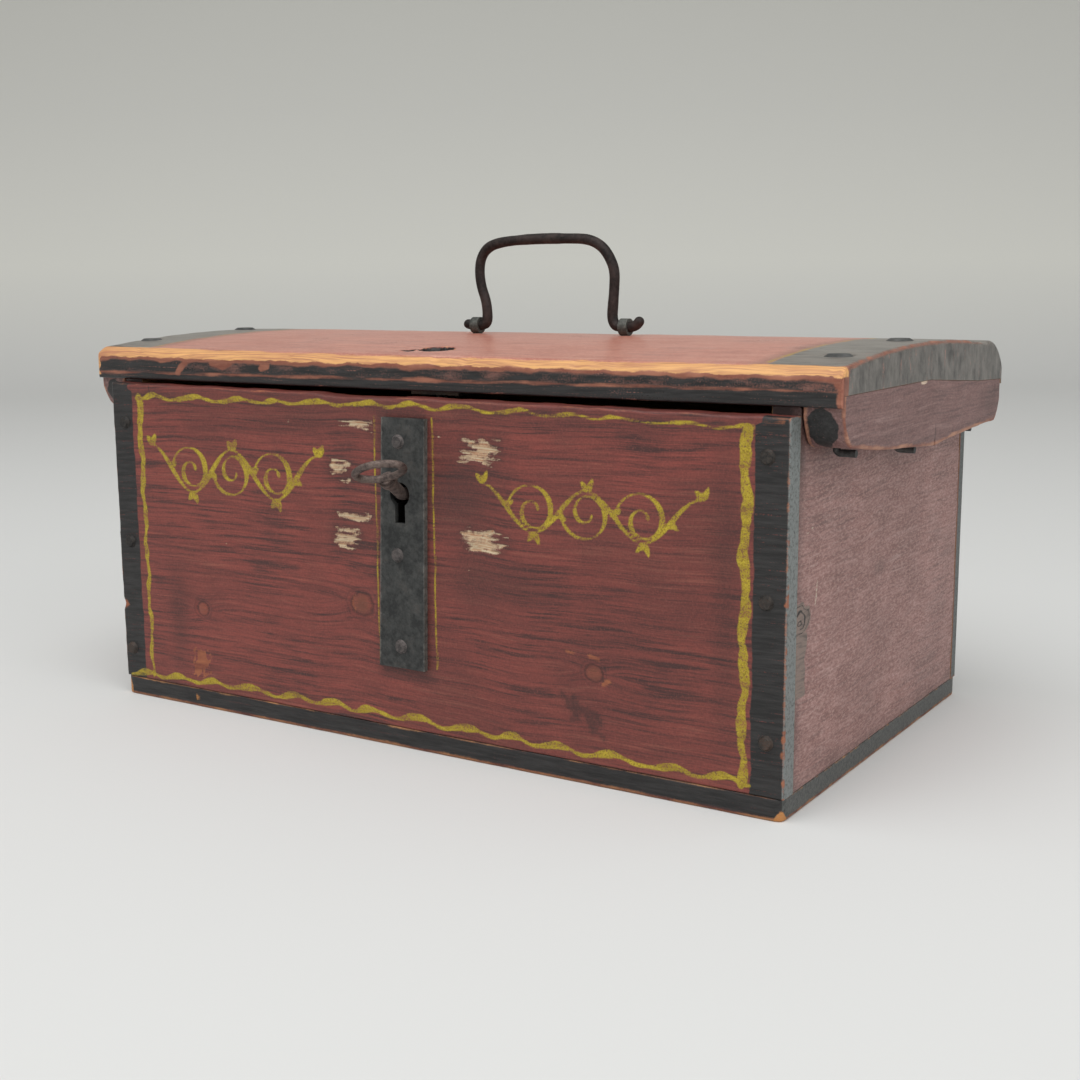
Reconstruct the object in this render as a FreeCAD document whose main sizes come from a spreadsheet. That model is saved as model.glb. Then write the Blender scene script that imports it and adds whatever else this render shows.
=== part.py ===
import FreeCAD, Part
import math
import os
from types import SimpleNamespace

import Sketcher

# A small painted storage chest of nailed boards. Its lid is one thick board with a
# hanging cleat under each end, hinged at the back on iron staples, with an iron bail
# handle on top and a lock behind a long iron plate on the front.
# Left and right are as seen from the front. X runs along the box, Y from front to
# back, Z up. The origin is the middle of the underside.

SIZES = (
    ("box_length", 400, "front board from end to end"),
    ("box_depth", 237, "front face to back face"),
    ("bottom_thickness", 10.2, "bottom board"),
    ("front_thickness", 10.8, "front board"),
    ("back_thickness", 8.4, "back board"),
    ("side_thickness", 13, "each side board"),
    ("front_top_drop", 1.8, "how much lower that top is at its right end"),
    ("lid_overhang", 18.9, "lid past each end of the box"),
    ("lid_front_setback", 7.6, "lid's front edge behind the front face"),
    ("lid_back_setback", 0.6, "lid's back edge before the back face"),
    ("lid_front_gap", 1.7, "front board's top to the lid"),
    ("lid_gap", 0.3, "side and back boards' tops to the lid"),
    ("lid_fall", 4.2, "fall of the lid's underside from front to back"),
    ("lid_crown", 22.8, "lid's top over its underside at the front"),
    ("lid_front_lip", 2.8, "lid's wood left before a cleat"),
    ("lid_back_lip", 3.2, "lid's wood left behind a cleat"),
    ("rebate_depth", 7, "how far a cleat is let into the lid"),
    ("cleat_joint", 0.2, "gap all round a cleat in its rebate"),
    ("cleat_gap", 0.8, "side board to cleat"),
    ("cleat_drop", 26.9, "lid's front underside to the cleat's lowest point"),
    ("nail_head_radius", 3.5, "nails that join the boards"),
    ("nail_head_height", 1.6, "the same"),
    ("nail_radius", 1.5, "their shanks"),
    ("nail_length", 34, "the same, under the head"),
    ("nail_fit", 0.05, "radial gap round a shank"),
    ("nail_recess", 1, "depth to which the bottom's nail heads are sunk"),
    ("bottom_nail_length", 28, "nails up through the bottom"),
    ("lid_nail_radius", 1.7, "shanks of the nails that hold the cleats"),
    ("lid_nail_head_radius", 6.5, "their wide heads"),
    ("lid_nail_head_height", 1.2, "the same"),
    ("left_nail_inset", 7.9, "left lid nails from the lid's end"),
    ("right_nail_inset", 15.4, "right lid nails from the lid's end"),
    ("clinch_length", 9, "nail end bent over"),
    ("clinch_gap", 0.3, "bent end to the wood or iron it lies on"),
    ("handle_span", 93.6, "from eye to eye"),
    ("handle_offset", 9.5, "handle's middle, right of the lid's middle"),
    ("handle_rise", 46.1, "eye axis to the top of the bail"),
    ("handle_wire", 2.7, "radius of the bail's rod"),
    ("handle_eye_bend", 3.8, "bend of the rod beside an eye"),
    ("handle_fit", 0.1, "radial gap of the rod in its eye"),
    ("eye_wall", 1.6, "iron round the rod"),
    ("eye_width", 5, "eye along the rod"),
    ("eye_leg_width", 4.2, "eye's leg along the rod"),
    ("eye_leg_depth", 2.8, "the same from front to back"),
    ("eye_strip", 11, "each bent end of the leg under the lid"),
    ("eye_strip_thickness", 1.4, "the same"),
    ("slot_fit", 0.1, "gap round a flat leg in its slot"),
    ("key_height", 128, "table to the key's axis"),
    ("top_above_key", 47.5, "that axis to the front board's top at its left end"),
    ("plate_above_key", 36.9, "lock plate over the key's axis"),
    ("plate_height", 123.2, "lock plate"),
    ("plate_top_width", 25.8, "lock plate"),
    ("plate_foot_width", 27.5, "lock plate"),
    ("plate_top_shift", 2.8, "middle of its top edge from the key's axis"),
    ("plate_foot_shift", 1.2, "middle of its foot to the left of that axis"),
    ("plate_thickness", 2.6, "lock plate"),
    ("plate_nail_radius", 1.3, "shanks of the lock plate's nails"),
    ("plate_nail_head_radius", 3.6, "the same"),
    ("plate_nail_head_height", 1.4, "the same"),
    ("keyhole_radius", 5.9, "round part of the keyhole in the plate"),
    ("keyhole_slot", 6, "width of its slot"),
    ("keyhole_drop", 14, "key's axis to the slot's foot"),
    ("back_keyhole_radius", 4.2, "round part of the keyhole in the plate inside"),
    ("keyhole_margin", 1.1, "keyhole in the wood wider than in the plate"),
    ("case_left", 20, "lock case, left of the key's axis"),
    ("case_right", 40, "the same, right"),
    ("case_above", 21, "the same, above"),
    ("case_below", 21, "the same, below"),
    ("case_depth", 12, "lock case from back plate to its outer face"),
    ("case_wall", 1.2, "sheet of the lock case"),
    ("case_ear", 8, "nailed ear at each side of the case"),
    ("back_plate", 1.4, "iron plate between board and case"),
    ("back_plate_margin", 1, "that plate past the case above and below"),
    ("case_nail_radius", 1.2, "nails of the lock case"),
    ("case_nail_head_radius", 2.6, "the same"),
    ("case_nail_head_height", 1.1, "the same"),
    ("case_nail_depth", 7.5, "the same, into the front board"),
    ("case_nail_rise", 13, "the same, above and below the key's axis"),
    ("rivet_head", 1.3, "rivet's head wider than its shank"),
    ("rivet_head_height", 1, "the same"),
    ("key_radius", 3, "key's shank"),
    ("key_bore", 1.6, "hole in the shank's end"),
    ("key_bore_depth", 11.8, "the same, deep"),
    ("key_post_fit", 0.1, "radial gap round the post in that hole"),
    ("key_end_gap", 1, "key's end to the case"),
    ("key_bend_out", 1, "bend of the neck before the front face"),
    ("key_neck", 26.2, "that bend to the middle of the bow"),
    ("key_bow_half_width", 11.9, "bow across"),
    ("key_bow_half_height", 7.4, "bow along the neck"),
    ("key_bow_end_radius", 5.2, "small arcs of the bow"),
    ("key_bow_wire", 1.8, "radius of the bow's rod"),
    ("key_collar_radius", 4.2, "collar on the neck"),
    ("key_collar_width", 2.6, "the same"),
    ("key_bit_reach", 12.8, "bit from the key's axis"),
    ("key_bit_thickness", 3.6, "bit"),
    ("key_bit_width", 7, "bit along the key"),
    ("latch_side", 26, "latch pivot right of the key's axis"),
    ("latch_below", 4, "the same, below that axis"),
    ("latch_height", 23.3, "pivot to the top of the latch"),
    ("latch_thickness", 3, "latch plate"),
    ("latch_pivot_radius", 2, "latch pivot"),
    ("latch_pivot_fit", 0.05, "radial gap round it"),
    ("latch_setback", 4.5, "back plate to the latch"),
    ("spring_stud_radius", 2, "slotted stud that holds the spring"),
    ("spring_thickness", 0.8, "spring leaf"),
    ("spring_width", 6, "the same"),
    ("spring_fit", 0.05, "gap each side of it in the stud"),
    ("spring_gap", 0.5, "leaf's free end to the latch"),
    ("catch_side", 11.5, "staple under the lid, right of the key's axis"),
    ("catch_wire", 1.2, "radius of its wire"),
    ("catch_leg_gap", 6, "from leg to leg"),
    ("catch_setback", 4.4, "front board's inner face to the first leg"),
    ("catch_crown_rise", 7.8, "key's axis to the staple's lowest run"),
    ("catch_bite", 10, "legs up into the lid"),
    ("catch_plate_length", 28, "plate under the lid"),
    ("catch_plate_width", 12.8, "the same"),
    ("catch_plate_thickness", 1.5, "the same"),
    ("catch_plate_gap", 0.05, "plate to the lid"),
    ("catch_slot", 6, "slot in the case's top for the staple"),
    ("hinge_side", 130, "each hinge from the middle"),
    ("hinge_behind", 4, "hinge axis behind the back face"),
    ("hinge_rise", 2, "hinge axis above the lid's lower back edge"),
    ("hinge_foot", 9, "the same, above the staple's legs in the back board"),
    ("hinge_wire", 1.5, "radius of the staple's wire"),
    ("hinge_staple_width", 13, "staple from leg to leg"),
    ("hinge_bend", 2.4, "its bends outside"),
    ("hinge_clinch", 8, "its ends bent down inside"),
    ("hinge_clinch_gap", 0.2, "those ends to the back board"),
    ("hinge_fit", 0.1, "radial gap between staple and eye"),
    ("hinge_eye_wire", 1.3, "radius of the eye's wire"),
    ("hinge_spike", 26, "eye's pointed shank in the lid"),
    ("overrun", 5, "how far a cut runs past the solid"),
)

doc = FreeCAD.newDocument("storage_chest")
sheet = doc.addObject("Spreadsheet::Sheet", "sizes")
for row, (alias, value, meaning) in enumerate(SIZES, start=1):
    sheet.set("A%d" % row, alias)
    sheet.set("B%d" % row, str(value))
    sheet.setAlias("B%d" % row, alias)
    sheet.set("C%d" % row, meaning)
doc.recompute()


class Size:
    """A length together with the expression that works it out from the sheet."""

    def __init__(self, value, text):
        self.value = float(value)
        self.text = text

    def __float__(self):
        return self.value

    def __add__(self, other):
        other = size_of(other)
        return Size(self.value + other.value, "(%s + %s)" % (self.text, other.text))

    def __sub__(self, other):
        other = size_of(other)
        return Size(self.value - other.value, "(%s - %s)" % (self.text, other.text))

    def __mul__(self, other):
        other = size_of(other)
        return Size(self.value * other.value, "(%s * %s)" % (self.text, other.text))

    def __truediv__(self, other):
        other = size_of(other)
        return Size(self.value / other.value, "(%s / %s)" % (self.text, other.text))

    def __rsub__(self, other):
        return size_of(other) - self

    def __neg__(self):
        return size_of(0) - self

    __radd__ = __add__
    __rmul__ = __mul__


def size_of(number):
    """A plain number or a size, as a size."""
    return number if isinstance(number, Size) else Size(number, "(%r)" % number)


chest = SimpleNamespace(**{
    alias: Size(sheet.get(alias), "sizes." + alias) for alias, value, meaning in SIZES
})


# Sketches, pads and pockets of one piece

NORMAL_SIGNS = {"XY_Plane": 1, "XZ_Plane": -1, "YZ_Plane": 1}


def new_body(name):
    """A piece that is cut from a board or a sheet."""
    body = doc.addObject("PartDesign::Body", name)
    body.Label = name
    return body


def new_sketch(body, tag, role, level=0):
    """A sketch on an origin plane of the body, moved to a level along that plane's axis."""
    plane = [item for item in body.Origin.OriginFeatures if item.Role == role][0]
    sketch = body.newObject("Sketcher::SketchObject", body.Name + "_" + tag)
    sketch.AttachmentSupport = [(plane, "")]
    sketch.MapMode = "FlatFace"
    offset = size_of(level) * NORMAL_SIGNS[role]
    sketch.setExpression("AttachmentOffset.Base.z", offset.text)
    return sketch


def flat(spot):
    """A point of a sketch as a vector."""
    return FreeCAD.Vector(float(spot[0]), float(spot[1]), 0)


def pin(sketch, geometry, end, spot):
    """Hold one point of a sketch at its distances from the origin."""
    for kind, size in zip(("DistanceX", "DistanceY"), spot):
        size = size_of(size)
        rule = Sketcher.Constraint(kind, -1, 1, geometry, end, size.value)
        number = sketch.addConstraint(rule)
        sketch.setExpression("Constraints[%d]" % number, size.text)


def draw_outline(sketch, corners):
    """Close a loop through corners; one given as (x, y, (via)) is reached by an arc through via."""
    loop = []
    for start, corner in zip(corners[-1:] + corners[:-1], corners):
        if len(corner) == 2:
            line = sketch.addGeometry(Part.LineSegment(flat(start), flat(corner)))
            loop.append((line, 1, 2))
            pin(sketch, line, 2, corner)
            continue
        via = corner[2]
        rising = (flat(via) - flat(start)).cross(flat(corner) - flat(via)).z
        first, last = (1, 2) if rising > 0 else (2, 1)
        ends = (flat(start), flat(corner))
        arc = sketch.addGeometry(Part.Arc(ends[first - 1], flat(via), ends[last - 1]))
        loop.append((arc, first, last))
        pin(sketch, arc, last, corner[:2])
        guide = sketch.addGeometry(Part.Point(flat(via)), True)
        pin(sketch, guide, 1, via)
        sketch.addConstraint(Sketcher.Constraint("PointOnObject", guide, 1, arc))
    for before, after in zip(loop[-1:] + loop[:-1], loop):
        rule = Sketcher.Constraint("Coincident", before[0], before[2], after[0], after[1])
        sketch.addConstraint(rule)


def draw_circles(sketch, spots, radius):
    """Circles of one radius at several spots."""
    for spot in spots:
        circle = Part.Circle(flat(spot), FreeCAD.Vector(0, 0, 1), float(radius))
        number = sketch.addGeometry(circle)
        pin(sketch, number, 3, spot)
        rule = sketch.addConstraint(Sketcher.Constraint("Radius", number, float(radius)))
        sketch.setExpression("Constraints[%d]" % rule, size_of(radius).text)


def pad(body, sketch, depth, towards):
    """Thicken a sketch by depth, towards +1 or -1 along its plane's axis, or 0 for both ways."""
    feature = body.newObject("PartDesign::Pad", sketch.Name + "_pad")
    feature.Profile = sketch
    feature.setExpression("Length", depth.text)
    role = sketch.AttachmentSupport[0][0].Role
    feature.Reversed = towards == -NORMAL_SIGNS[role]
    feature.Midplane = towards == 0
    sketch.Visibility = False
    doc.recompute()
    return feature


def pocket(body, sketch, depth=None, towards=0):
    """Cut a sketch out of the body, right through or to a depth; it has to remove something."""
    before = body.Shape.Volume
    feature = body.newObject("PartDesign::Pocket", sketch.Name + "_cut")
    feature.Profile = sketch
    if depth is None:
        feature.Type = "ThroughAll"
        feature.Midplane = True
    else:
        feature.setExpression("Length", depth.text)
        role = sketch.AttachmentSupport[0][0].Role
        feature.Reversed = towards == NORMAL_SIGNS[role]
    sketch.Visibility = False
    doc.recompute()
    if not body.Shape.Volume < before:
        raise RuntimeError(feature.Name + " cuts nothing")
    return feature


def drill(body, tag, role, spots, radius, depth=None, level=0, towards=0):
    """Round holes, right through or to a depth from a level."""
    sketch = new_sketch(body, tag, role, level)
    draw_circles(sketch, spots, radius)
    pocket(body, sketch, depth, towards)


def rectangle(left, right, low, high):
    """The corners of an upright rectangle."""
    return [(left, low), (right, low), (right, high), (left, high)]


# Primitives and booleans

def put(piece, spot, direction=None):
    """Stand a primitive at a spot, its own upright turned to a direction."""
    if direction:
        turn = FreeCAD.Rotation(FreeCAD.Vector(0, 0, 1), FreeCAD.Vector(*direction))
        piece.Placement = FreeCAD.Placement(FreeCAD.Vector(), turn)
    for axis, size in zip("xyz", spot):
        piece.setExpression("Placement.Base." + axis, size_of(size).text)
    return piece


def block(name, low, high):
    """A box from its low corner to its high corner."""
    box = doc.addObject("Part::Box", name)
    for side, start, end in zip(("Length", "Width", "Height"), low, high):
        box.setExpression(side, (size_of(end) - start).text)
    return put(box, low)


def cylinder(name, spot, direction, radius, length):
    """A round bar from a spot in a direction."""
    bar = doc.addObject("Part::Cylinder", name)
    bar.setExpression("Radius", size_of(radius).text)
    bar.setExpression("Height", size_of(length).text)
    return put(bar, spot, direction)


def cone(name, spot, start_radius, end_radius, length):
    """An upright cone from a spot."""
    shape = doc.addObject("Part::Cone", name)
    shape.setExpression("Radius1", size_of(start_radius).text)
    shape.setExpression("Radius2", size_of(end_radius).text)
    shape.setExpression("Height", size_of(length).text)
    return put(shape, spot)


def fuse(name, shapes):
    """Several solids made into one."""
    whole = doc.addObject("Part::MultiFuse", name)
    whole.Shapes = shapes
    return whole


def cut(name, solid, tools):
    """A solid with the tools taken out of it."""
    result = doc.addObject("Part::Cut", name)
    result.Base = solid
    result.Tool = tools[0] if len(tools) == 1 else fuse(name + "_tools", tools)
    result.Label = name
    return result


def group(name, solids):
    """Separate solids that share one node."""
    together = doc.addObject("Part::Compound", name)
    together.Links = solids
    together.Label = name
    return together


def made(name, shape):
    """A piece whose shape is worked out below, for bent and forged iron."""
    piece = doc.addObject("Part::Feature", name)
    piece.Shape = shape
    piece.Label = name
    return piece


def vector(x, y, z):
    """A point in space from three sizes."""
    return FreeCAD.Vector(float(x), float(y), float(z))


ROD_ERROR_SHARE = 0.01


def bent_rod(corners, bends, radius):
    """A round rod along straight runs, with a tangent arc of its own radius at each corner."""
    edges = []
    start = corners[0]
    for before, corner, after, bend in zip(corners, corners[1:], corners[2:], bends):
        back = (before - corner).normalize()
        ahead = (after - corner).normalize()
        half_turn = (math.pi - back.getAngle(ahead)) / 2
        run = float(bend) * math.tan(half_turn)
        leave = corner + back * run
        arrive = corner + ahead * run
        inward = (back + ahead).normalize()
        middle = corner + inward * (float(bend) / math.cos(half_turn) - float(bend))
        edges.append(Part.LineSegment(start, leave).toShape())
        edges.append(Part.Arc(leave, middle, arrive).toShape())
        start = arrive
    edges.append(Part.LineSegment(start, corners[-1]).toShape())
    path = Part.Wire(edges)
    circle = Part.Circle(corners[0], corners[1] - corners[0], float(radius))
    rod = path.makePipeShell([Part.Wire(circle.toShape())], True, False)
    full = math.pi * float(radius) ** 2 * path.Length
    if abs(rod.Volume - full) > full * ROD_ERROR_SHARE:
        raise RuntimeError("a bent rod has the wrong volume")
    return rod


NAIL_HEAD_TOP_SHARE = 0.72
NAIL_TIP_SHARE = 0.3
NAIL_TIP_LENGTHS = 3


def nail(name, spot, direction, head, shank, length):
    """A forged nail: a head that narrows outwards, a round shank and a short point."""
    head_radius, head_height = head
    tip = shank * NAIL_TIP_LENGTHS
    parts = [
        cone(name + "_head", (0, 0, -head_height), head_radius * NAIL_HEAD_TOP_SHARE,
             head_radius, head_height),
        cylinder(name + "_shank", (0, 0, 0), None, shank, length - tip),
        cone(name + "_point", (0, 0, length - tip), shank, shank * NAIL_TIP_SHARE, tip),
    ]
    return put(fuse(name, parts), spot, direction)


def clinched_nail(corners, bend, radius, head):
    """A nail bent over behind the wood, as one rod with its head at the first corner."""
    head_radius, head_height = head
    out = (corners[0] - corners[1]).normalize()
    top = float(head_radius) * NAIL_HEAD_TOP_SHARE
    disc = Part.makeCone(float(head_radius), top, float(head_height), corners[0], out)
    return bent_rod(corners, [bend], radius).fuse(disc).removeSplitter()


# Places that several pieces share

half_length = chest.box_length / 2
front_y = -chest.box_depth / 2
back_y = chest.box_depth / 2
board_back = front_y + chest.front_thickness
back_inside = back_y - chest.back_thickness
lid_end = half_length + chest.lid_overhang
lid_front = front_y + chest.lid_front_setback
lid_back = back_y - chest.lid_back_setback
lid_depth = lid_back - lid_front
front_top = chest.key_height + chest.top_above_key
lid_low = front_top + chest.lid_front_gap


def underside(y):
    """Height of the lid's flat underside, which falls towards the back."""
    return lid_low - chest.lid_fall * ((y - lid_front) / lid_depth)


# Nails through the front and back boards into the ends of the side boards, each as
# its end, its inset as a share of the side board's thickness, and its height as a
# share of the board's.
END_NAIL_SHARES = (
    (-1, 0.73, 0.869), (-1, 0.68, 0.470), (-1, 0.45, 0.100),
    (1, 0.76, 0.887), (1, 0.72, 0.515), (1, 0.65, 0.146),
)
board_height = front_top - chest.bottom_thickness
end_nails = [
    (end * (half_length - chest.side_thickness * inset_share),
     chest.bottom_thickness + board_height * up_share)
    for end, inset_share, up_share in END_NAIL_SHARES
]

# Nails up through the bottom, under the middle of each board's thickness
BOTTOM_NAIL_SHARES = (-0.33, 0, 0.33)
side_middle = half_length - chest.side_thickness / 2
front_middle = front_y + chest.front_thickness / 2
back_middle = back_y - chest.back_thickness / 2
side_bottom_nails = [
    (end * side_middle, chest.box_depth * share)
    for end in (-1, 1) for share in BOTTOM_NAIL_SHARES
]
front_bottom_nails = [(chest.box_length * share, front_middle) for share in BOTTOM_NAIL_SHARES]
back_bottom_nails = [(chest.box_length * share, back_middle) for share in BOTTOM_NAIL_SHARES]

nail_hole = chest.nail_radius + chest.nail_fit
nail_head = (chest.nail_head_radius, chest.nail_head_height)
nail_depth = chest.nail_length + chest.nail_fit
bottom_nail_depth = chest.bottom_nail_length + chest.nail_fit

# The lock: the key's axis is the middle of the row of its places
key_z = chest.key_height
plate_back = board_back + chest.back_plate
case_outside = plate_back + chest.case_depth
case_inside = case_outside - chest.case_wall
case_low = key_z - chest.case_below
case_high = key_z + chest.case_above
back_plate_low = case_low - chest.back_plate_margin
back_plate_high = case_high + chest.back_plate_margin

# The lock plate's nails miss the plate inside: one above it and two below. Each is a
# share of the foot's width across, and of the way from that plate to the lock plate's
# own top or foot.
plate_top = key_z + chest.plate_above_key
plate_foot = plate_top - chest.plate_height
UPPER_PLATE_NAIL_SHARES = ((-0.012, 0.231),)
LOWER_PLATE_NAIL_SHARES = ((-0.08, 0.124), (-0.05, 0.832))
plate_nails = [
    (chest.plate_foot_width * across_share,
     back_plate_high + (plate_top - back_plate_high) * up_share)
    for across_share, up_share in UPPER_PLATE_NAIL_SHARES
] + [
    (chest.plate_foot_width * across_share,
     back_plate_low - (back_plate_low - plate_foot) * down_share)
    for across_share, down_share in LOWER_PLATE_NAIL_SHARES
]
plate_nail_hole = chest.plate_nail_radius + chest.nail_fit
case_nails = [
    (side, key_z + rise)
    for side in (-chest.case_left - chest.case_ear / 2, chest.case_right + chest.case_ear / 2)
    for rise in (-chest.case_nail_rise, chest.case_nail_rise)
]
case_nail_hole = chest.case_nail_radius + chest.nail_fit


# Bottom board, flush with the other boards, its nail heads sunk

bottom_board = new_body("bottom_board")
sketch = new_sketch(bottom_board, "outline", "XY_Plane")
draw_outline(sketch, rectangle(-half_length, half_length, front_y, back_y))
pad(bottom_board, sketch, chest.bottom_thickness, 1)
bottom_spots = side_bottom_nails + front_bottom_nails + back_bottom_nails
drill(bottom_board, "recesses", "XY_Plane", bottom_spots,
      chest.nail_head_radius + chest.nail_fit, chest.nail_recess, 0, 1)
drill(bottom_board, "holes", "XY_Plane", bottom_spots, nail_hole)


# Front board, which covers the ends of the side boards

front_board = new_body("front_board")
sketch = new_sketch(front_board, "outline", "XZ_Plane", front_y)
draw_outline(sketch, [
    (-half_length, chest.bottom_thickness), (half_length, chest.bottom_thickness),
    (half_length, front_top - chest.front_top_drop),
    (-half_length, front_top),
])
pad(front_board, sketch, chest.front_thickness, 1)
drill(front_board, "nail_holes", "XZ_Plane", end_nails, nail_hole)
drill(front_board, "plate_holes", "XZ_Plane", plate_nails, plate_nail_hole)
drill(front_board, "case_holes", "XZ_Plane", case_nails, case_nail_hole,
      chest.case_nail_depth, board_back, -1)
drill(front_board, "keyhole", "XZ_Plane", [(0, key_z)],
      chest.keyhole_radius + chest.keyhole_margin)
slot_half = chest.keyhole_slot / 2 + chest.keyhole_margin
sketch = new_sketch(front_board, "slot", "XZ_Plane")
draw_outline(sketch, rectangle(-slot_half, slot_half,
                               key_z - chest.keyhole_drop - chest.keyhole_margin, key_z))
pocket(front_board, sketch)
drill(front_board, "bottom_holes", "XY_Plane", front_bottom_nails, nail_hole,
      bottom_nail_depth + chest.nail_recess, 0, 1)


# Back board, with the hinge staples' legs through it

hinge_y = back_y + chest.hinge_behind
hinge_z = underside(lid_back) + chest.hinge_rise
hinge_leg_z = hinge_z - chest.hinge_foot
hinge_legs = [
    (side * chest.hinge_side + leg * chest.hinge_staple_width / 2, hinge_leg_z)
    for side in (-1, 1) for leg in (-1, 1)
]
back_board = new_body("back_board")
sketch = new_sketch(back_board, "outline", "XZ_Plane", back_inside)
draw_outline(sketch, rectangle(-half_length, half_length, chest.bottom_thickness,
                               underside(back_y) - chest.lid_gap))
pad(back_board, sketch, chest.back_thickness, 1)
drill(back_board, "nail_holes", "XZ_Plane", end_nails, nail_hole)
drill(back_board, "hinge_holes", "XZ_Plane", hinge_legs, chest.hinge_wire + chest.nail_fit)
drill(back_board, "bottom_holes", "XY_Plane", back_bottom_nails, nail_hole,
      bottom_nail_depth + chest.nail_recess, 0, 1)


# Side boards, between the front and the back, their tops sloped as the lid's underside

for name, end in (("left_side_board", -1), ("right_side_board", 1)):
    side_board = new_body(name)
    sketch = new_sketch(side_board, "outline", "YZ_Plane", end * half_length)
    draw_outline(sketch, [
        (board_back, chest.bottom_thickness), (back_inside, chest.bottom_thickness),
        (back_inside, underside(back_inside) - chest.lid_gap),
        (board_back, underside(board_back) - chest.lid_gap),
    ])
    pad(side_board, sketch, chest.side_thickness, -end)
    ends = [spot for spot, shares in zip(end_nails, END_NAIL_SHARES) if shares[0] == end]
    drill(side_board, "front_holes", "XZ_Plane", ends, nail_hole, nail_depth, front_y, 1)
    drill(side_board, "back_holes", "XZ_Plane", ends, nail_hole, nail_depth, back_y, -1)
    below = [spot for spot in side_bottom_nails if float(spot[0]) * end > 0]
    drill(side_board, "bottom_holes", "XY_Plane", below, nail_hole,
          bottom_nail_depth + chest.nail_recess, 0, 1)


# Nails of the box

group("front_nails", [
    nail("front_nail_%d" % number, (x, front_y, z), (0, 1, 0), nail_head,
         chest.nail_radius, chest.nail_length)
    for number, (x, z) in enumerate(end_nails)
])
group("back_nails", [
    nail("back_nail_%d" % number, (x, back_y, z), (0, -1, 0), nail_head,
         chest.nail_radius, chest.nail_length)
    for number, (x, z) in enumerate(end_nails)
])
SUNK_HEAD_SHARE = 0.8
sunk_head = (chest.nail_head_radius, chest.nail_recess * SUNK_HEAD_SHARE)
group("bottom_nails", [
    nail("bottom_nail_%d" % number, (x, y, chest.nail_recess), (0, 0, 1), sunk_head,
         chest.nail_radius, chest.bottom_nail_length)
    for number, (x, y) in enumerate(bottom_spots)
])


# Lid board: flat below, crowned above, with a rebate under each end for its cleat.
# The profile's points are shares of the lid's depth and of its crown.

LID_FACE_SHARE = 0.496
LID_NOSE_SHARES = ((0.007, 0.658), (0.0258, 0.746))
LID_TOP_SHARES = ((0.4476, 1), (0.8715, 0.803))
LID_BACK_SHARES = ((0.9677, 0.583), (1, 0.079))
REBATE_ROOF_SHARES = ((0, 0.71), (0.48, 1), (0.82, 0.46), (1, 0.35))


def on_lid(shares):
    """A point of the lid's profile from its shares of depth and crown."""
    return lid_front + lid_depth * shares[0], lid_low + chest.lid_crown * shares[1]


def arc_to(via, end):
    """A corner reached by an arc."""
    return end + (via,)


lid_body = doc.addObject("PartDesign::Body", "lid_blank")
sketch = new_sketch(lid_body, "profile", "YZ_Plane")
draw_outline(sketch, [
    (lid_back, underside(lid_back)),
    (lid_front, lid_low),
    on_lid((0, LID_FACE_SHARE)),
    arc_to(on_lid(LID_NOSE_SHARES[0]), on_lid(LID_NOSE_SHARES[1])),
    arc_to(on_lid(LID_TOP_SHARES[0]), on_lid(LID_TOP_SHARES[1])),
    arc_to(on_lid(LID_BACK_SHARES[0]), on_lid(LID_BACK_SHARES[1])),
])
pad(lid_body, sketch, lid_end * 2, 0)

rebate_front = lid_front + chest.lid_front_lip
rebate_back = lid_back - chest.lid_back_lip
rebate_roof = []
for along_share, up_share in REBATE_ROOF_SHARES:
    y = rebate_front + (rebate_back - rebate_front) * along_share
    rebate_roof.append((y, underside(y) + chest.rebate_depth * up_share))
cleat_inside = half_length + chest.cleat_gap
for end, tag in ((-1, "left_rebate"), (1, "right_rebate")):
    sketch = new_sketch(lid_body, tag, "YZ_Plane", end * (cleat_inside - chest.cleat_joint))
    rebate_low = lid_low - chest.cleat_drop
    draw_outline(sketch, [(rebate_front, rebate_low)] + rebate_roof + [(rebate_back, rebate_low)])
    pocket(lid_body, sketch, chest.lid_overhang + chest.overrun, end)

# Nails through the lid and the cleats: each row's place along the cleat, and the
# height of its sunk seat as a share of the crown
LID_NAIL_SHARES = ((0.141, 0.838), (0.483, 0.993), (0.874, 0.776))
cleat_front = rebate_front + chest.cleat_joint
cleat_depth = rebate_back - chest.cleat_joint - cleat_front
lid_nail_rows = [
    (cleat_front + cleat_depth * along_share, lid_low + chest.lid_crown * seat_share)
    for along_share, seat_share in LID_NAIL_SHARES
]
left_nail_x = chest.left_nail_inset - lid_end
right_nail_x = lid_end - chest.right_nail_inset
lid_nail_hole = chest.lid_nail_radius + chest.nail_fit
seat_radius = chest.lid_nail_head_radius + chest.nail_fit
drill(lid_body, "nail_holes", "XY_Plane",
      [(x, y) for x in (left_nail_x, right_nail_x) for y, seat in lid_nail_rows], lid_nail_hole)
for number, (y, seat) in enumerate(lid_nail_rows):
    drill(lid_body, "seat_%d" % number, "XY_Plane", [(left_nail_x, y), (right_nail_x, y)],
          seat_radius, chest.lid_crown, seat, 1)

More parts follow.
